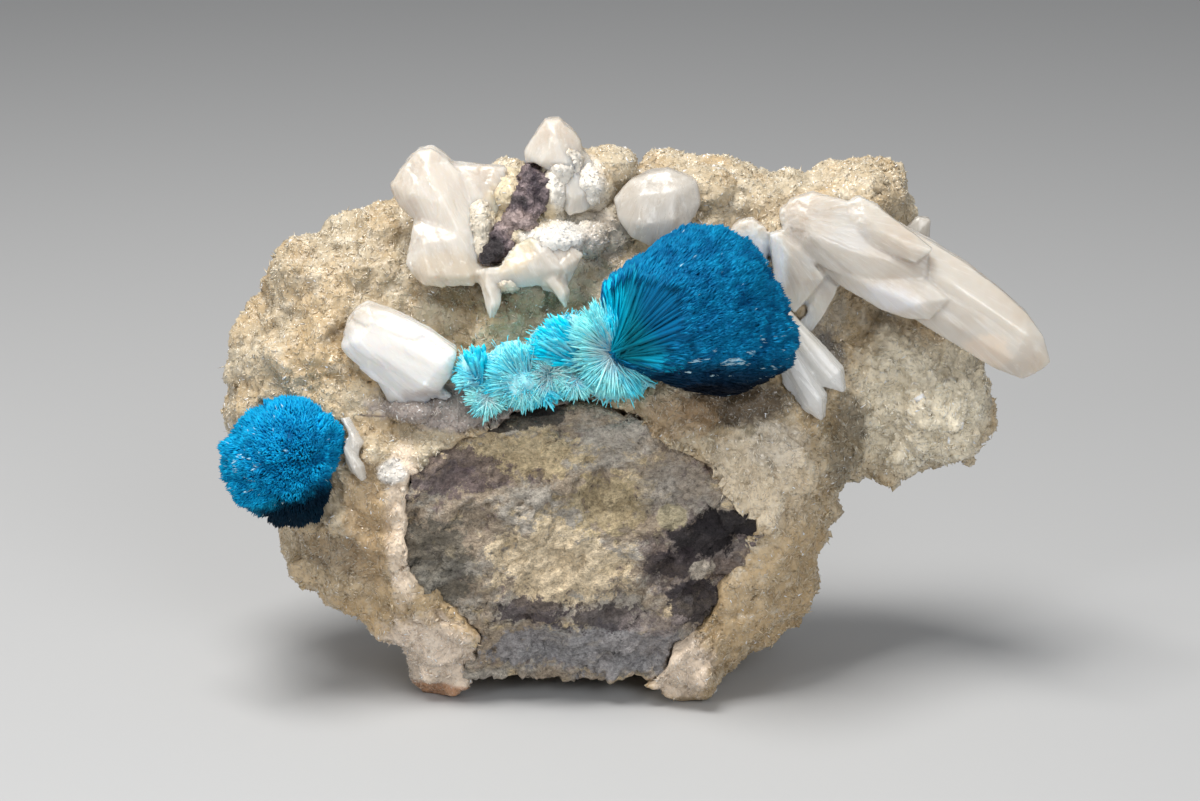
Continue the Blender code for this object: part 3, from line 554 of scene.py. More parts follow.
def makeDruseLook():
    # each plate has its own tone and gloss, darker at its foot as painted shade, lighter towards its edge as
    # painted light, and a few are painted glints
    look, tree, shader = newLook(
        "druse plates", Subsurface_Weight=0.3, Subsurface_Scale=0.8 * mm,
        Subsurface_Radius=(1.0, 0.72, 0.45), IOR=1.6,
    )
    own, along = kept(tree, "tone"), kept(tree, "along")
    shift = blend(tree, own, 0.4, ranged(tree, along, 0.35, 0.95, 0.0, 0.6))
    tone = wire(tree, "Group", {"Shift": shift}, node_tree=crustToneGroup)
    edge = ranged(tree, along, 0.55, 1.0, 0.0, 0.25)
    lighter = mixColours(tree, edge, tone.outputs["Color"], crustColours["edge"])
    glint = ranged(tree, own, 0.965, 0.97)
    lighter = mixColours(tree, glint, lighter, crustColours["glint"])
    feed(tree, shader, Base_Color=lighter, Roughness=ranged(tree, own, 0, 1, 0.4, 0.04))
    addBump(tree, shader, grainHeight(tree, 0.3, 0.1), 0.3, 0.06)
    return look


# The crust: a skin of blocky facets in three sizes, with thin plates standing all over it

crustValues = dict(
    voxel=0.42, smoothing=3,
    # cut finer: faces whose normal's y is below the first, or its z above the second and y below the third
    finer=(-0.15, 0.5, 0.3),
    facets=[(3.2, 0.85, 0.4, 3), (1.3, 0.42, 0.45, 11), (0.6, 0.16, 0.5, 19)],  # size, height, tilt, seed
    bend=0.35, bendSize=1.7,  # how far soft noise pushes the cells out of line
    mounds=[  # place, radii, height of druse that has grown up between the crystals
        ((-7.6, -2, 35), (4, 9, 3.2), 0.7),
        ((-13.6, -3, 30.4), (3, 9, 1.6), 0.8),
        ((3, -2, 37), (4, 9, 1.6), 0.7),
        ((9.4, -2, 35.4), (2.4, 9, 2), 1.2),
        ((-12.6, -5, 22), (5, 9, 1.6), 0.5),
    ],
    coarsePlace=(20.5, 0.0, 19.5), coarseRadii=(7.0, 9.0, 7.0), coarser=1.8,  # the right-hand lump
    lumpCell=1.15, lumpHeight=0.55,
    tunnelRadii=(14.5, 12.0), tunnelInward=0.35,  # the wall that faces the core
    rim=0.2, ragged=0.55, raggedSize=1.8, footFade=0.8,
    plateSpacing=dict(front=0.25, side=0.34, back=0.42),
    plateWidth=1.8, plateThickness=0.34, plateLength=1.1,  # shares of the spacing
    lean=0.42, sink=0.62, foot=0.45, sideways=0.3,
    needleSpacing=0.5, needleLength=(0.35, 0.9), needleWidth=(0.07, 0.13), needleLift=0.16,
    needleClumps=3.0, needleShare=0.35, needleFront=-0.6, needleFoot=2,
)


def outsideTunnel(points, normals):
    # true where a point isn't on the wall that faces the core
    middle = np.array(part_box("basalt_core")).mean(axis=0) / mm
    inward = np.sum(unit((middle - points) * [1, 0, 1]) * normals, axis=1) > crustValues["tunnelInward"]
    within = np.linalg.norm((points - middle)[:, [0, 2]] / crustValues["tunnelRadii"], axis=1) < 1
    return ~(inward & within & (np.abs(normals[:, 1]) < 0.75))


def makeCrust(look):
    # each point moves along its normal by three sizes of cells, with smaller lumps on the right; the
    # mounds bring the front towards the viewer by height * exp(-distance^2); on the wall that faces
    # the core, layered noise takes the place of the cells
    values = crustValues
    crust = fineCopy("zeolite_crust", "crust_skin", values["voxel"], values["smoothing"])
    facing = readRows(crust.data.polygons, "normal")
    front, top, topBack = values["finer"]
    shown = (facing[:, 1] < front) | ((facing[:, 2] > top) & (facing[:, 1] < topBack))
    cutFiner(crust, shown & outsideTunnel(readRows(crust.data.polygons, "center") / mm, facing))
    points, normals = readPoints(crust.data), readNormals(crust.data)
    for place, radii, height in values["mounds"]:
        points[:, 1] -= height * nearTo(points, place, radii) * np.clip(-1.5 * normals[:, 1], 0, 1)
    sway = np.stack([layeredNoise(points, values["bendSize"], 2, k) for k in (5, 6, 7)], axis=1)
    move = blocky(points + values["bend"] * sway, values["facets"])
    away, own, plane = cellNoise(points, values["lumpCell"], 51)
    coarse = nearTo(points, values["coarsePlace"], values["coarseRadii"])
    move += coarse * values["lumpHeight"] * (0.5 - away + 0.5 * (own - 0.5))
    rim = values["rim"] + values["ragged"] * layeredNoise(points, values["raggedSize"], 3, 77)
    move = np.where(outsideTunnel(points, normals), move, rim)
    points += normals * (move * np.clip(points[:, 2] / values["footFade"], 0, 1))[:, None]
    points[:, 2] = np.maximum(points[:, 2], 0)
    writePoints(crust.data, points)
    # how far each point is raised, which the crust look turns into painted shade in the sunk places and
    # painted light on the raised ones
    keepValues(crust.data, "raised", np.clip(0.5 + 0.9 * move, 0, 1))
    shadeSmooth(crust)
    return dress(crust, "zeolite_crust", look)


def growPlates(title, spots, normals, size, random, look):
    # plates that stand along the normal, leant at random and partly sunk
    values = crustValues
    count = len(spots)
    size = size * random.uniform(0.5, 1.3, count)
    sizes = np.stack([
        size * values["plateWidth"], size * values["plateThickness"] * random.uniform(0.6, 1.6, count),
        size * values["plateLength"] * random.uniform(0.6, 1.2, count),
    ], axis=1)
    lean = random.uniform(0, 2 * np.pi, count), random.normal(0, values["lean"], (count, 3))
    axes = turnedAxes(normals, *lean)
    spots = spots - normals * (values["sink"] * sizes[:, 2:])
    tone = random.random(count)[:, None]
    plates = scatter(title, plateShape, spots, axes, sizes, tone=tone, along=plateShape[0][:, 2])
    dress(plates, "zeolite_crust", look)
    print(f"{title}: {count} plates")


def makeDruse(crust, look):
    # each side of the skin has its own spacing; the right-hand lump has larger and fewer plates
    values = crustValues
    random = np.random.default_rng(7)
    for side, spacing in values["plateSpacing"].items():
        spots, normals = spread(crust.data, spacing, random)
        back, limit = normals[:, 1], values["sideways"]
        facing = dict(front=back < -limit, back=back > limit, side=np.abs(back) <= limit)[side]
        chosen = facing & outsideTunnel(spots, normals) & (spots[:, 2] > values["foot"])
        spots, normals = spots[chosen], normals[chosen]
        scale = 1 + (values["coarser"] - 1) * nearTo(spots, values["coarsePlace"], values["coarseRadii"])
        chosen = random.random(len(spots)) < 1 / scale**1.6
        spots, normals, scale = spots[chosen], normals[chosen], scale[chosen]
        halves = [(f"druse_{side}", np.full(len(spots), True))]
        if side == "front":
            halves = [("druse_front_left", spots[:, 0] < 0), ("druse_front_right", spots[:, 0] >= 0)]
        for title, half in halves:
            growPlates(title, spots[half], normals[half], spacing * scale[half], random, look)


lumpValues = dict(
    rows=44, around=72, spacing=0.3, back=0.2,
    facets=[(1.8, 0.4, 0.4, 3), (0.7, 0.14, 0.5, 19)],  # size, height, tilt, seed
    lumps=[  # centre and radii
        (-4.4, 0.9, 38.1, 1.7, 2.2, 1.9), (-2.7, 1.2, 36.7, 2.2, 2.5, 2.1),
        (-1.2, 2.0, 37.7, 2.2, 2.2, 1.7), (-5.2, 0.2, 36.0, 1.2, 2.1, 2.4),
        (-8.5, 0.9, 36.0, 1.6, 2.7, 1.9), (-10.1, -0.9, 33.4, 1.2, 2.6, 3.0),
        (-5.2, -1.6, 33.4, 2.8, 2.7, 1.4), (-2.8, -0.8, 33.2, 1.6, 2.2, 1.4),
        (-8.6, -2.6, 30.9, 1.7, 2.5, 1.1), (5.6, 1.4, 36.2, 2.4, 2.6, 1.9),
        (-14.6, -2.0, 21.8, 3.4, 4.6, 1.5),
    ],
)


def makeLumps(skinLook, plateLook):
    # druse that fills the hollows between the crystals: balls stretched to their radii, pushed out along
    # their normals by cells of two sizes as the skin is, with plates on the front
    values = lumpValues
    random = np.random.default_rng(29)
    places = np.array(values["lumps"])
    axes = np.broadcast_to(np.eye(3), (len(places), 3, 3))
    ball = ballShape(values["rows"], values["around"])
    lumps = scatter("druse_lumps", ball, places[:, :3], axes, places[:, 3:])
    points, normals = readPoints(lumps.data), readNormals(lumps.data)
    move = blocky(points, values["facets"])
    writePoints(lumps.data, points + normals * move[:, None])
    # how far each point is raised, for the painted shade and light of the crust look
    keepValues(lumps.data, "raised", np.clip(0.5 + 0.9 * move, 0, 1))
    shadeSmooth(lumps)
    dress(lumps, "zeolite_crust", skinLook)
    spots, normals = spread(lumps.data, values["spacing"], random)
    shown = normals[:, 1] < values["back"]
    growPlates("lump_plates", spots[shown], normals[shown], values["spacing"], random, plateLook)


def makeNeedles(crust, look):
    # straw-like needles that lie on the front of the skin: way = a random tangent + lift * normal
    values = crustValues
    random = np.random.default_rng(17)
    spots, normals = spread(crust.data, values["needleSpacing"], random)
    clumps = layeredNoise(spots, values["needleClumps"], 2, 23) + random.normal(0, 0.3, len(spots))
    thin = (clumps < values["needleShare"]) & (spots[:, 2] > values["needleFoot"])
    chosen = thin & (normals[:, 1] < values["needleFront"]) & outsideTunnel(spots, normals)
    spots, normals = spots[chosen], normals[chosen]
    count = len(spots)
    tangent = unit(np.cross(normals, random.normal(0, 1, (count, 3))))
    axes = turnedAxes(tangent + values["needleLift"] * normals, random.uniform(0, 2 * np.pi, count))
    width = random.uniform(*values["needleWidth"], count)
    sizes = np.stack([width, width, random.uniform(*values["needleLength"], count)], axis=1)
    tone = random.uniform(0.5, 0.97, count)[:, None]
    needles = scatter("druse_needles", needleShape, spots, axes, sizes, tone=tone, along=0.9)
    print(f"druse_needles: {count} needles")
    return dress(needles, "zeolite_crust", look)


# The core of altered basalt

rockValues = dict(
    voxel=0.2, smoothing=3, swell=0.2, widen=1.03, streak=(0.80, 0.1, 0.6), stretch=0.55,
    grit=0.2, gritSize=0.5,
    facets=[(2.4, 0.5, 0.7, 31), (0.9, 0.34, 0.8, 37), (0.38, 0.15, 0.9, 43)],  # size, height, tilt, seed
)
rockColours = dict(
    brown=(0.44, 0.355, 0.265), ochre=(0.84, 0.67, 0.41), grey=(0.55, 0.50, 0.43),
    purple=(0.25, 0.19, 0.195), speck=(0.38, 1.45),
    turn=0.62, stretch=0.55, cloudSize=3.0, speckSize=0.32, crumbSize=0.2, bump=0.2,
    clumps=[("ochre", 2.0, 0.54), ("purple", 2.3, 0.56)], clumpShare=0.8,  # size, start in the noise
    patches=[
        ((-4.7, -6, 11), (5.2, 8, 3.2), 1.9, 0.75, (0.98, 0.80, 0.54)),
        ((-7.6, -6, 19), (5, 8, 1.8), 1.6, 0.75, (0.74, 0.59, 0.35)),
        ((-1, -6, 15.4), (3, 8, 2.2), 2, 0.6, (0.62, 0.50, 0.28)),
        ((3.6, -6, 16.6), (3.2, 8, 2.6), 1.6, 0.5, (0.44, 0.39, 0.34)),
        ((-12.3, -6, 17.6), (4.2, 8, 1.8), 1.6, 0.75, (0.17, 0.125, 0.14)),
        ((-13.6, -6, 10.6), (2.8, 8, 4.2), 1.6, 0.7, (0.145, 0.14, 0.115)),
        # painted shadow along the top of the core, under the overhang of the crust
        ((-7.8, -6, 21.8), (4.4, 8, 1), 1, 0.85, (0.05, 0.047, 0.04)),
        ((-1.8, -6, 4.4), (8.5, 8, 2.3), 1.3, 0.75, (0.34, 0.34, 0.37)),
        ((-6.8, -6, 7.6), (2.8, 8, 1), 1.8, 0.85, (0.09, 0.07, 0.08)),
        ((-1.6, -6, 7), (3.6, 8, 1.1), 2, 0.8, (0.10, 0.08, 0.088)),
        ((5.6, -6, 11.6), (5, 8, 3.6), 1.4, 0.6, (0.13, 0.09, 0.10)),
        ((7.4, -6, 13.9), (2.8, 8, 1.3), 0.9, 0.95, (0.022, 0.018, 0.022)),
        ((5.4, -6, 12.6), (2.9, 8, 1.5), 1.1, 0.93, (0.026, 0.021, 0.025)),
        ((3.4, -6, 11.1), (2.2, 8, 1.2), 1.2, 0.85, (0.05, 0.037, 0.042)),
        ((4.8, -6, 8.2), (2, 8, 2), 1.3, 0.88, (0.045, 0.037, 0.045)),
        ((5.4, -6, 10.4), (1, 8, 0.9), 0.8, 0.9, (0.66, 0.58, 0.48)),
        ((2, -6, 6.6), (2.4, 8, 1.1), 1.5, 0.6, (0.42, 0.35, 0.33)),
        ((3.2, -6, 14.6), (1.2, 8, 0.9), 0.8, 0.75, (0.64, 0.56, 0.36)),
        # painted shadow: the dark line along the top of the core, under the crust's overhang, in this place
        # and the three after it
        ((-9.4, -6, 20.9), (1.8, 8, 0.4), 0.5, 0.9, (0.03, 0.025, 0.02)),
        ((-6.6, -6, 22.1), (2, 8, 0.5), 0.5, 0.95, (0.016, 0.014, 0.012)),
        ((-1.6, -6, 22.9), (3.6, 8, 0.45), 0.5, 0.95, (0.016, 0.014, 0.012)),
        ((3.4, -6, 21.4), (1.6, 8, 0.5), 0.5, 0.8, (0.05, 0.035, 0.025)),
    ],
)


def makeRockLook():
    # brown and grey clouds drawn out across the face, ochre and purple clumps, the places, among them
    # painted shadow along the top edge, and specks
    look, tree, shader = newLook("altered basalt", Roughness=0.85)
    values = rockColours
    where = objectCoords(tree)
    turned = wire(tree, "Mapping", {
        "Vector": where, "Rotation": (0, values["turn"], 0), "Scale": (values["stretch"], 1, 1),
    }).outputs[0]
    mottle = noiseMask(tree, turned, values["cloudSize"], 0.46, 0.56, 10.0, 0.7)
    base = mixColours(tree, mottle, values["brown"], values["grey"])
    for (title, size, start), place in zip(values["clumps"], (turned, where)):
        spots = noiseMask(tree, place, size, start, start + 0.08, 10.0, 0.72)
        share = maths(tree, "MULTIPLY", spots, values["clumpShare"])
        base = mixColours(tree, share, base, values[title])
    base = paintPatches(tree, base, values["patches"], soft=0.1, wilder=1.9)
    speck = noiseMask(tree, turned, values["speckSize"], 0.36, 0.66, 6.0, 0.8)
    crumb, crumbOwn = crystalFaces(tree, values["crumbSize"])
    lightness = ranged(tree, blend(tree, crumbOwn, 0.45, speck), 0.0, 1.45, *values["speck"])
    feed(tree, shader, Base_Color=shaded(tree, base, lightness))
    addBump(tree, shader, blend(tree, crumb, 0.6, grainHeight(tree, 0.35, 0.13)), 1.0, values["bump"])
    return look


def stretched(points, direction, share):
    # the points squeezed to this share of their length along one direction, so noise on them is
    # drawn out into streaks along it
    direction = np.array(direction) / np.linalg.norm(direction)
    return points - (1 - share) * (points @ direction)[:, None] * direction


def makeRock(look):
    # widened a little about its middle to meet the crust, then moved out along the normals by a
    # swell, streaky layered noise, and cells of three sizes, each with its own height and tilted plane
    values = rockValues
    rock = fineCopy("basalt_core", "rock_core", values["voxel"], values["smoothing"])
    points, normals = readPoints(rock.data), readNormals(rock.data)
    middle = points[:, 0].mean()
    points[:, 0] = middle + values["widen"] * (points[:, 0] - middle)
    drawn = stretched(points, values["streak"], values["stretch"])
    move = values["swell"] + values["grit"] * layeredNoise(drawn, values["gritSize"], 3, 9)
    for size, height, tilt, seed in values["facets"]:
        away, own, plane = cellNoise(drawn, size, seed)
        move += height * (0.6 * (own - 0.5) + tilt * plane - 0.3 * away)
    points += normals * move[:, None]
    writePoints(rock.data, points)
    shadeSmooth(rock)
    return dress(rock, "basalt_core", look)


sliverValues = dict(
    voxel=0.12, smoothing=2, grit=0.12, gritSize=0.6, cell=0.7, height=0.3,
    dark=(0.06, 0.045, 0.055), light=(0.27, 0.21, 0.215), speck=(0.6, 1.5),
    cloudSize=1.1, crumbSize=0.2, bump=0.16,
    patches=[
        ((-7.4, -3.5, 34.8), (1.7, 3, 0.9), 1, 0.75, (0.42, 0.33, 0.31)),
        ((-9.4, -4.5, 33), (1, 3, 1.1), 0.8, 0.9, (0.014, 0.011, 0.013)),
        ((-7.6, -3.5, 36.3), (0.9, 3, 0.4), 0.8, 0.8, (0.03, 0.024, 0.028)),
    ],
)


def makeSliverLook():
    # dark and light clouds, the places, and crumbs that each have their own lightness and gloss
    look, tree, shader = newLook("dark basalt", Roughness=0.55)
    values = sliverValues
    mottle = noiseMask(tree, objectCoords(tree), values["cloudSize"], 0.42, 0.6, 8.0, 0.7)
    base = mixColours(tree, mottle, values["dark"], values["light"])
    base = paintPatches(tree, base, values["patches"])
    crumb, crumbOwn = crystalFaces(tree, values["crumbSize"])
    base = shaded(tree, base, ranged(tree, crumbOwn, 0, 1, *values["speck"]))
    feed(tree, shader, Base_Color=base, Roughness=ranged(tree, crumbOwn, 0, 1, 0.8, 0.25))
    addBump(tree, shader, blend(tree, crumb, 0.8, grainHeight(tree, 0.35, 0.14)), 1.0, values["bump"])
    return look


def makeSliver(look):
    # layered noise and cells of one size along the normals
    values = sliverValues
    sliver = fineCopy("basalt_sliver", "basalt_sliver_rough", values["voxel"], values["smoothing"])
    points, normals = readPoints(sliver.data), readNormals(sliver.data)
    away, own, plane = cellNoise(points, values["cell"], 5)
    grit = values["grit"] * layeredNoise(points, values["gritSize"], 3, 2)
    move = grit + values["height"] * (own - 0.5) + values["height"] * plane
    writePoints(sliver.data, points + normals * move[:, None])
    shadeSmooth(sliver)
    return dress(sliver, "basalt_sliver", look)


# Cavansite: blades that grow out of a heart, over a dark core

cavansiteGloss = dict(Roughness=0.55, Specular_IOR_Level=0.12)
cavansiteColours = {  # two at the foot of a blade, two at its tip, the glints, and the places
    "deep blue cavansite": dict(
        # the dark roots are painted shade deep among the blades
        roots=[(0.0, 0.02, 0.07), (0.0, 0.05, 0.14)], tips=[(0.0, 0.085, 0.25), (0.003, 0.30, 0.58)],
        glint=(0.62, 0.85, 0.93), patches=[
            # painted shade on the underside of the ball, in this place and the next
            ((6.4, -9, 23), (7.4, 8, 4.8), 0.4, 0.92, (0, 0.017, 0.05)),
            ((7, -9, 22.2), (7.4, 8, 3.7), 0.4, 0.95, (0, 0.003, 0.010)),
        ],
    ),
    "blue cavansite": dict(
        # the dark roots are painted shade deep among the blades
        roots=[(0.0, 0.05, 0.13), (0.0, 0.10, 0.24)], tips=[(0.0, 0.18, 0.42), (0.004, 0.50, 0.86)],
        glint=(0.66, 0.88, 0.93), patches=[
            # painted shade on the underside of the small ball
            ((-21.6, -6, 13.4), (5.5, 7, 4.4), 0.5, 0.97, (0, 0.006, 0.018)),
        ],
    ),
    "cavansite fibres": dict(
        roots=[(0.0, 0.15, 0.23), (0.002, 0.24, 0.33)], tips=[(0.0, 0.22, 0.40), (0.002, 0.34, 0.56)],
        glint=(0.55, 0.85, 0.88), patches=[
            ((4.2, -9, 31), (3.6, 6, 4.4), 0.5, 0.8, (0, 0.11, 0.30)),
            # bright cyan along the left edge: the fibres' own turquoise, lightened further with painted
            # light
            ((-1.9, -8, 30), (2.1, 5, 4), 0.4, 0.9, (0, 0.62, 0.90)),
        ],
    ),
    "pale blue cavansite": dict(
        roots=[(0.0, 0.56, 0.86), (0.82, 1.0, 1.0)], tips=[(0.0, 0.74, 1.0), (0.40, 1.0, 1.0)],
        glint=(0.90, 0.96, 0.97), patches=[],
    ),
}


def makeCavansiteLook(name):
    # two colours at the foot of a blade and two at its tip; its own tone picks between each two
    look, tree, shader = newLook(name, **cavansiteGloss)
    values = cavansiteColours[name]
    own, along = kept(tree, "tone"), kept(tree, "along")
    clouds = noiseMask(tree, objectCoords(tree), 1.0, 0.35, 0.65)
    mixed = ranged(tree, blend(tree, clouds, 0.45, own), 0.15, 1.2)
    root = mixColours(tree, mixed, *values["roots"])
    tip = mixColours(tree, mixed, *values["tips"])
    base = mixColours(tree, ranged(tree, along, 0.2, 0.85), root, tip)
    base = paintPatches(tree, base, values["patches"])
    bright = ranged(tree, own, 0.975, 0.985, 0.0, 0.62)
    feed(tree, shader, Base_Color=mixColours(tree, bright, base, values["glint"]))
    return look


ballValues = dict(
    heart=(-0.70, -7.72, 26.6), breakNormal=(-0.68, -0.73, 0.0), spacing=0.118, width=0.2, thickness=0.14,
    length=1.4, wild=0.14, tufts=[(1.7, 0.55), (0.6, 0.42)], uneven=0.05,  # size and height
    voxel=0.25, smoothing=6, core=0.9, coreBack=0.35, rim=0.05, back=0.7,
    glintPlace=(6.6, -11.0, 27.4), glintRadii=(3.4, 5.0, 1.0), glints=0.34,
)
fanValues = dict(
    heart=ballValues["heart"], face=ballValues["breakNormal"], depth=-0.1, soften=0.4, faceLean=0.12,
    width=0.34, thickness=0.05, root=0.03, wild=0.03, tufts=[(1.5, 0.2), (0.6, 0.12)], uneven=0.06,
)
smallBallValues = dict(
    heart=(-23.2, -4.6, 18.0), spacing=0.13, width=0.2, thickness=0.13, length=1.4, wild=0.16,
    tufts=[(1.7, 0.7), (0.6, 0.42)], uneven=0.06, voxel=0.25, smoothing=3, core=0.86, back=0.6,
    glintPlace=(-26.8, -8.0, 18.2), glintRadii=(2.0, 3.0, 3.2), glints=0.22,
)
bladeTones = dict(
    # tuft is painted light and shade: a blade is lighter at the top of its tuft and darker between tufts
    own=0.14, tuft=0.42,  # how light a blade is by chance, and by its place in a tuft
    # the strokes are painted glints: white blades in streaks
    strokeAlong=(1, 0, 0.2), strokeShare=0.35, strokeSize=0.3, strokeStart=0.42, strokeChance=2.5,
    rareGlint=0.002,
)


def growBlades(name, shape, spots, values, random, node, look):
    # each blade points from the heart to a spot on the surface, and ends the tufts' heights and a
    # random bit beyond it; its foot is at a share of the way, or at its own length below the tip
    heart = np.array(values["heart"])
    count = len(spots)
    reach = np.linalg.norm(spots - heart, axis=1)
    way = unit(spots - heart)
    top = reach + random.normal(0, values["uneven"], count)
    tone = bladeTones["own"] * random.random(count)
    for k, (size, height) in enumerate(values["tufts"]):
        away, own, plane = cellNoise(spots, size, 3 + 11 * k)
        top += height * (0.5 - away + 0.4 * plane)
        # painted light and shade: lighter at the middle of a tuft, where it stands highest, darker between
        # tufts
        tone += bladeTones["tuft"] * np.clip(1.05 - 1.1 * away + 0.7 * (own - 0.5), 0, 1)
    length = top - reach * values["root"] if "root" in values else np.full(count, values["length"])
    length = np.maximum(length, 0.5)
    spin = random.uniform(0, 2 * np.pi, count)
    axes = turnedAxes(way, spin, values["wild"] * random.normal(0, 1, (count, 3)))
    if "face" in values:
        lean = values["face"] + values["faceLean"] * random.normal(0, 1, (count, 3))
        wide = unit(np.cross(axes[:, 2], lean))
        axes = np.stack([wide, np.cross(axes[:, 2], wide), axes[:, 2]], axis=1)
    sizes = np.stack([
        values["width"] * random.uniform(0.5, 1.4, count),
        values["thickness"] * random.uniform(0.6, 1.4, count), length,
    ], axis=1)
    starts = heart + way * top[:, None] - axes[:, 2] * length[:, None]
    along = 1 - (1 - shape[0][:, 2]) * np.clip(length / 3.0, 0, 1)[:, None]
    tone = np.clip(tone, 0, 0.97)
    if "glints" in values:
        # painted glints: blades in streaks near the glint place, and a rare one anywhere, turn white
        drawn = stretched(spots, bladeTones["strokeAlong"], bladeTones["strokeShare"])
        glintStrokes = softNoise(drawn, bladeTones["strokeSize"], 8) > bladeTones["strokeStart"]
        chance = values["glints"] * nearTo(spots, values["glintPlace"], values["glintRadii"])
        glintStrokes &= random.random(count) < bladeTones["strokeChance"] * chance
        tone[glintStrokes | (random.random(count) < bladeTones["rareGlint"])] = 1.0
    blades = scatter(name, shape, starts, axes, sizes, tone=tone[:, None], along=along)
    print(f"{name}: {count} blades")
    return dress(blades, node, look)


def drawIn(core, values, node, look, shift=(0, 0, 0)):
    # what shows between the blades: the smoothed solid drawn in towards its heart
    heart = np.array(values["heart"])
    writePoints(core.data, heart + (readPoints(core.data) - heart) * values["core"] + shift)
    keepValues(core.data, "along", 0.5)
    shadeSmooth(core)
    dress(core, node, look)


def makeLargeBall(look, fanLook):
    # short tips all over, and beside the broken face blades that show from the heart to the rim
    random = np.random.default_rng(41)
    node = "cavansite_large_ball"
    core = fineCopy(node, "ball_core", ballValues["voxel"], ballValues["smoothing"])
    spots, normals = spread(core.data, ballValues["spacing"], random)
    across = unit(np.array([ballValues["breakNormal"]]))[0]
    depth = (ballValues["heart"] - spots) @ across
    whole = (depth > ballValues["rim"]) & (normals[:, 1] < ballValues["back"])
    broken = depth < fanValues["depth"] + np.abs(random.normal(0, fanValues["soften"], len(depth)))
    growBlades("ball_tips", tipShape, spots[whole & ~broken], ballValues, random, node, look)
    opened = spots[whole & broken]
    growBlades("ball_fan", bladeShape, opened, fanValues, random, node, fanLook)
    drawIn(core, ballValues, node, look, -ballValues["coreBack"] * across)


def makeSmallBall(look):
    # short tips all over but the back
    random = np.random.default_rng(61)
    values = smallBallValues
    node = "cavansite_small_ball"
    core = fineCopy(node, "small_ball_core", values["voxel"], values["smoothing"])
    spots, normals = spread(core.data, values["spacing"], random)
    shown = spots[normals[:, 1] < values["back"]]
    growBlades("small_ball_blades", tipShape, shown, values, random, node, look)
    drawIn(core, values, node, look)


# The band of pale sprays: fans of flat blades that lie over one another

bandValues = dict(
    depth=-7.35, tilt=(0, 17), thickness=0.05, density=2.6, slim=0.55, bundle=7.0, stray=0.2, wild=0.07,
    voxel=0.2, smoothing=4, back=0.45, grit=0.3, gritSize=0.7,
    shortest=0.62, uneven=0.07, turn=0.4,
    fluff=0.28, fluffWidth=(0.07, 0.16), fluffThickness=0.05, fluffLength=(0.4, 1.0), fluffSink=0.2,
    fluffLean=0.9, fluffBack=0.2, fluffTone=0.55,
    fans=[  # x and z of the heart, from and to angle, reach, foot, blades, pale, width
        (-3.0, 26.0, 118, 172, 3.7, 0.1, 260, 0.03, 0.42),
        (-1.0, 26.7, 88, 112, 3.2, 0.1, 90, 0.30, 0.20),
        (-1.0, 26.7, 108, 170, 3.9, 0.1, 300, 0.75, 0.20),
        (-1.0, 26.4, 172, 300, 2.8, 0.05, 420, 0.85, 0.20),
        (-0.9, 26.3, 296, 345, 3.3, 0.1, 150, 0.50, 0.20),
        (-3.6, 24.8, 170, 350, 1.7, 0.1, 170, 0.75, 0.18),
        (-5.3, 25.2, 0, 360, 1.7, 0.4, 170, 0.80, 0.18),
        (-5.7, 24.2, 195, 345, 1.5, 0.1, 110, 0.35, 0.20),
        (-7.0, 24.5, 80, 190, 2.9, 0.08, 250, 0.55, 0.22),
        (-7.0, 24.4, 185, 320, 1.8, 0.08, 200, 0.70, 0.18),
        (-6.0, 25.6, 103, 130, 2.2, 0.15, 16, 0.75, 0.40),
        (-9.7, 23.4, 140, 400, 1.5, 0.0, 200, 1.00, 0.16),
        (-10.2, 24.7, 150, 195, 1.8, 0.1, 55, 0.35, 0.26),
        (-10.2, 24.5, 78, 114, 2.4, 0.1, 40, 0.00, 0.50),
    ],
)


def growSprays(random):
    # a blade leaves its fan's heart at an angle a across the front and a tilt t towards the viewer:
    # way = (cos a cos t, -sin t, sin a cos t); blades of a bundle of angles share a reach and a tone
    values = bandValues
    fans = np.array(values["fans"])
    own = np.repeat(np.arange(len(fans)), (values["density"] * fans[:, 6]).astype(int))
    x, z, start, end, reach, foot, blades, pale, width = fans[own].T
    count = len(own)
    angle = start + (end - start) * random.random(count)
    bundle = np.stack([np.floor(angle / values["bundle"]), own, own * 0], axis=1).astype(np.int64)
    share, shade = cornerValue(bundle, 5), cornerValue(bundle, 6)
    shortest = values["shortest"]
    even = shortest + (1 - shortest) * share
    length = reach * np.clip(even + random.normal(0, values["uneven"], count), 0.3, 1.08)
    a, t = np.radians(angle), np.radians(random.uniform(*values["tilt"], count))
    way = np.stack([np.cos(a) * np.cos(t), -np.sin(t), np.sin(a) * np.cos(t)], axis=1)
    heart = np.stack([x, values["depth"] + random.uniform(-0.25, 0.35, count), z], axis=1)
    heart += values["stray"] * random.normal(0, 1, (count, 3)) * (1, 0.3, 1)
    starts = heart + way * (foot * length)[:, None]
    flat = random.normal(np.pi / 2, values["turn"], count)
    axes = turnedAxes(way, flat, values["wild"] * random.normal(0, 1, (count, 3)))
    sizes = np.stack([
        values["slim"] * width * random.uniform(0.6, 1.4, count),
        values["thickness"] * random.uniform(0.7, 1.4, count), length * (1 - foot),
    ], axis=1)
    tone = pale + 0.5 * (shade - 0.5) * (pale > 0.01) + random.normal(0, 0.08, count)
    tone = np.clip(tone, 0, 0.97)[:, None]
    print(f"spray_blades: {count} blades")
    return scatter("spray_blades", bladeShape, starts, axes, sizes, tone=tone, along=bladeShape[0][:, 2])


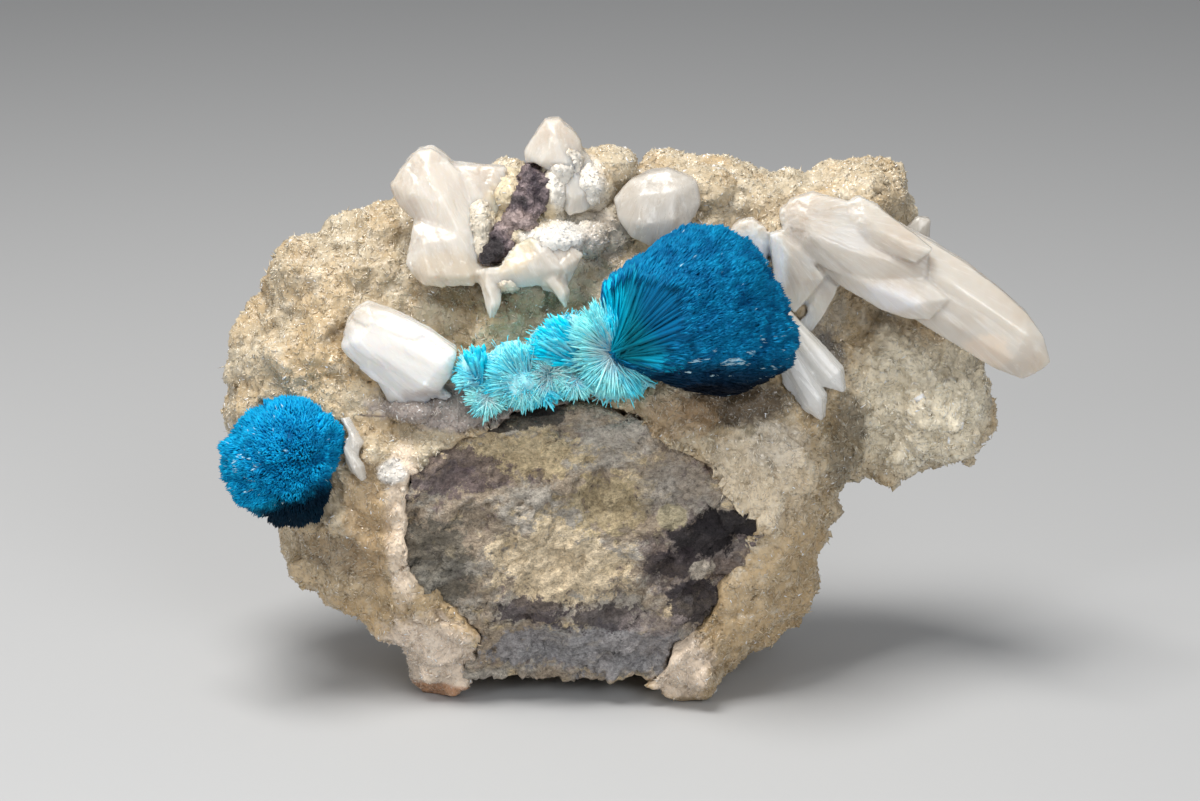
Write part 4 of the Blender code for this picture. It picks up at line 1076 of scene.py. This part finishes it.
def makeBand(look):
    # the fans, the smoothed solid behind them with some noise, and short blades standing all over it
    values = bandValues
    random = np.random.default_rng(71)
    node = "cavansite_spray_band"
    dress(growSprays(random), node, look)
    core = fineCopy(node, "spray_core", values["voxel"], values["smoothing"])
    points, normals = readPoints(core.data), readNormals(core.data)
    move = values["grit"] * layeredNoise(points, values["gritSize"], 3, 4) - 0.1
    writePoints(core.data, points + (normals * move[:, None] + (0, values["back"], 0)))
    keepValues(core.data, "along", 0.5)
    keepValues(core.data, "tone", 0.6)
    shadeSmooth(core)
    dress(core, node, look)
    spots, normals = spread(core.data, values["fluff"], random)
    shown = normals[:, 1] < values["fluffBack"]
    spots, normals = spots[shown], normals[shown]
    few = len(spots)
    spin = random.uniform(0, 2 * np.pi, few)
    axes = turnedAxes(normals, spin, random.normal(0, values["fluffLean"], (few, 3)))
    sizes = np.stack([
        random.uniform(*values["fluffWidth"], few), np.full(few, values["fluffThickness"]),
        random.uniform(*values["fluffLength"], few),
    ], axis=1)
    tone = values["fluffTone"] + 0.45 * layeredNoise(spots, 1.0, 2, 15) + random.normal(0, 0.15, few)
    tone = np.clip(tone, 0, 0.97)[:, None]
    starts = spots - values["fluffSink"] * normals
    fluff = scatter("spray_fluff", bladeShape, starts, axes, sizes, tone=tone, along=bladeShape[0][:, 2])
    dress(fluff, node, look)
    print(f"spray_fluff: {few} blades")


# Stilbite: milky crystals built of thin plates, with fine lengthwise ridges

plateValues = dict(
    rayReach=9, drawnOut=0.06,  # where an apex's rays are measured, how little changes along them
    waveSize=2.0, taperTip=0.25,
)
crystalValues = {
    "stilbite_right_cluster": dict(
        voxel=0.13, smoothing=1, apex=(8.5, -4.5, 36.5), steps=0.12, size=1.3, wave=0.03,
    ),
    "stilbite_back_tip": dict(
        voxel=0.12, smoothing=1, along=(0.2, 0, 1), steps=0.06, size=0.5, wave=0.02, clear=True,
    ),
    "stilbite_left_cluster": dict(
        voxel=0.13, smoothing=6, along=(-0.45, 0.1, 1), steps=0.12, size=0.9, wave=0.12,
        tapers=[(-9.5, 28.4, 31.0, 1.7), (-4.2, 29.4, 31.2, 1.6)],  # middle x, from z, to z, reach in x
    ),
    "stilbite_peak": dict(voxel=0.13, smoothing=4, along=(0.1, 0, 1), steps=0.08, size=1.1, wave=0.08),
    "stilbite_round_blade": dict(
        voxel=0.13, smoothing=8, along=(0.3, 0, 1), steps=0.05, size=1.2, wave=0.16, clear=True,
    ),
    "stilbite_left_block": dict(
        voxel=0.11, smoothing=2, along=(1.0, 0.1, -0.66), steps=0.2, size=0.9, wave=0.03,
    ),
    "stilbite_sheaf": dict(
        voxel=0.1, smoothing=1, along=(0.62, -0.2, -0.76), steps=0.1, size=0.5, wave=0.02, clear=True,
    ),
    "stilbite_chips": dict(
        voxel=0.1, smoothing=1, along=(0.5, -0.3, -0.85), steps=0.08, size=0.35, wave=0.02, clear=True,
    ),
}
stilbiteColours = dict(
    white=(0.66, 0.62, 0.56), warm=(0.61, 0.54, 0.46), clear=(0.50, 0.485, 0.465),
    line=(0.84, 0.82, 0.79),
    cloudSize=3.5, lines=(1.1, 4.5), bump=0.07,  # broad and thin lines to the millimetre
    patches=[
        ((-12.4, -3, 36.6), (2.6, 4, 3), 0.6, 0.7, (0.78, 0.73, 0.66)),  # whiter horn
        ((12.6, -4, 24.6), (3.6, 3, 4), 0.4, 0.8, (0.84, 0.84, 0.82)),  # sheaf
        ((8.9, -4, 31.8), (2.5, 3, 3.2), 0.4, 0.95, (0.92, 0.98, 1)),  # lavender blade
        ((17.5, -5.5, 29.6), (4, 2, 1.7), 0.6, 0.5, (0.76, 0.79, 0.86)),  # bluish thin wing
        ((12, -4, 28), (3, 3, 2.4), 0.6, 0.55, (0.74, 0.70, 0.62)),  # greyish side of the table
        ((15.6, -3.4, 33.8), (1.6, 3, 1), 0.6, 0.5, (0.62, 0.60, 0.58)),  # clear upper edge of the fan
        ((25.4, -3.4, 26), (2, 3, 1.6), 0.8, 0.6, (0.80, 0.68, 0.56)),  # warm end of the long crystal
        ((-16, -6, 25.8), (4.6, 4, 3.4), 0.4, 0.8, (0.97, 0.96, 0.94)),  # whiter left block
        ((-13, -6, 22.4), (3.4, 4, 1.6), 0.8, 0.65, (0.56, 0.50, 0.48)),  # grey foot of the block
        ((-12.6, -5, 31), (3.2, 4, 2.2), 0.8, 0.6, (0.60, 0.51, 0.39)),  # warm left apron
        ((-8.2, -3, 34.6), (2.2, 5, 3.2), 1, 0.6, (0.78, 0.62, 0.40)),  # stain beside the sliver
    ],
)


stilbiteClearness = {
    "milky stilbite": dict(
        Subsurface_Weight=1.0, Subsurface_Scale=1.6 * mm, Subsurface_Radius=(1.0, 0.86, 0.70),
        IOR=1.5, Coat_Weight=0.15, Coat_Roughness=0.25,
    ),
    "clear stilbite": dict(
        Subsurface_Weight=0.8, Subsurface_Scale=2.0 * mm, Subsurface_Radius=(1.0, 0.95, 0.9),
        Transmission_Weight=0.15, IOR=1.5, Coat_Weight=0.25, Coat_Roughness=0.15,
    ),
}


def makeStilbiteLook(name):
    # clouds of white and warm, clear and white lines along the crystal, and the places
    look, tree, shader = newLook(name, **stilbiteClearness[name])
    values = stilbiteColours
    drawn = kept(tree, "drawn", "Vector")
    broad, thin = (wire(tree, "TexNoise", {
        "Vector": drawn, "Scale": rate, "Detail": 4.0, "Roughness": 0.6,
    }).outputs["Fac"] for rate in values["lines"])
    clouds = noiseMask(tree, objectCoords(tree), values["cloudSize"], 0.42, 0.66, 3.0)
    base = mixColours(tree, clouds, values["white"], values["warm"])
    base = mixColours(tree, ranged(tree, broad, 0.5, 0.72, 0.0, 0.4), base, values["clear"])
    base = paintPatches(tree, base, values["patches"])
    base = mixColours(tree, ranged(tree, thin, 0.56, 0.68, 0.0, 0.35), base, values["line"])
    feed(tree, shader, Base_Color=base, Roughness=ranged(tree, broad, 0.35, 0.65, 0.14, 0.38))
    addBump(tree, shader, blend(tree, grainHeight(tree, 0.6, 0.2), 0.25, thin), 0.35, values["bump"])
    return look


def makeCrystals(milkyLook, clearLook):
    # thin plates: cells drawn out along the crystal, or along the rays of an apex, each at its own
    # height, with layered noise drawn out the same way and a soft wave
    drawnOut, tip = plateValues["drawnOut"], plateValues["taperTip"]
    for node, values in crystalValues.items():
        piece = fineCopy(node, node.replace("stilbite", "crystal"), values["voxel"], values["smoothing"])
        points, normals = readPoints(piece.data), readNormals(piece.data)
        if "apex" in values:
            way = points - values["apex"]
            drawn = unit(way) * plateValues["rayReach"] + drawnOut * np.linalg.norm(way, axis=1)[:, None]
        else:
            drawn = stretched(points, values["along"], drawnOut)
        own = cellNoise(drawn, values["size"], 13)[1]
        move = values["steps"] * (own - 0.5) + 0.3 * values["steps"] * layeredNoise(drawn, 0.4, 2, 14)
        move += values["wave"] * layeredNoise(points, plateValues["waveSize"], 2, 3)
        points += normals * move[:, None]
        for middle, low, high, reach in values.get("tapers", []):
            share = tip + (1 - tip) * np.clip((points[:, 2] - low) / (high - low), 0, 1)
            near = (np.abs(points[:, 0] - middle) < reach) & (points[:, 2] < high)
            points[near, 0] = middle + share[near] * (points[near, 0] - middle)
        writePoints(piece.data, points)
        piece.data.attributes.new("drawn", "FLOAT_VECTOR", "POINT").data.foreach_set(
            "vector", drawn.astype(np.float32).ravel()
        )
        shadeSmooth(piece)
        dress(piece, node, clearLook if "clear" in values else milkyLook)
    print("crystals are made")


# Floor, light and camera

studioValues = dict(
    floor=(0.52, 0.53, 0.54), floorHalf=1500, world=(0.84, 0.85, 0.87), worldStrength=0.26,
    target=(-1.851, 1.683, 20.6), camera=(-1.851, -229.668, 86.939), lens=100, sensor=36,
    lights=[
        # name, place, aimed at, width, watts, colour
        ("key", (-70, -70, 330), (0, 0, 20), 150, 1.12, (1.0, 0.97, 0.93)),
        ("front", (120, -300, 190), (0, 0, 20), 150, 0.34, (0.96, 0.98, 1.0)),
        ("glint", (-170, -200, 120), (0, 0, 22), 40, 0.12, (1.0, 1.0, 1.0)),
    ],
)


def aim(holder, place, target):
    holder.location = Vector(place) * mm
    holder.rotation_mode = "QUATERNION"
    holder.rotation_quaternion = Vector(np.subtract(target, place)).to_track_quat("-Z", "Y")


def makeStudio():
    values = studioValues
    half = values["floorHalf"] * mm
    mesh = bpy.data.meshes.new("floor")
    corners = [(-half, -half, 0), (half, -half, 0), (half, half, 0), (-half, half, 0)]
    mesh.from_pydata(corners, [], [(0, 1, 2, 3)])
    floor = newPiece("floor", mesh)
    look = newLook("pale floor", Roughness=0.9, Base_Color=(*values["floor"], 1.0))[0]
    mesh.materials.append(look)
    world = bpy.data.worlds.new("studio")
    world.use_nodes = True
    sky = world.node_tree.nodes["Background"]
    sky.inputs["Color"].default_value = (*values["world"], 1.0)
    sky.inputs["Strength"].default_value = values["worldStrength"]
    bpy.context.scene.world = world
    for name, place, target, width, watts, tint in values["lights"]:
        lamp = bpy.data.lights.new(name, "AREA")
        lamp.size = width * mm
        lamp.energy = watts
        lamp.color = tint
        aim(newPiece(name, lamp), place, target)
    lens = bpy.data.cameras.new("camera")
    lens.lens, lens.sensor_width = values["lens"], values["sensor"]
    lens.clip_start, lens.clip_end = 0.01, 10
    camera = newPiece("camera", lens)
    aim(camera, values["camera"], values["target"])
    bpy.context.scene.camera = camera
    bpy.context.scene.view_settings.view_transform = "Standard"


makeStudio()
milkyLook, clearLook = (makeStilbiteLook(name) for name in stilbiteClearness)
druseLook = makeDruseLook()
crustLook = makeCrustLook()
crust = makeCrust(crustLook)
print("crust skin is made")
makeDruse(crust, druseLook)
makeLumps(crustLook, druseLook)
makeNeedles(crust, druseLook)
makeRock(makeRockLook())
makeSliver(makeSliverLook())
print("rock is made")
blueLook, smallBlueLook, fanLook, paleLook = (makeCavansiteLook(name) for name in cavansiteColours)
makeLargeBall(blueLook, fanLook)
makeSmallBall(smallBlueLook)
makeBand(paleLook)
makeCrystals(milkyLook, clearLook)
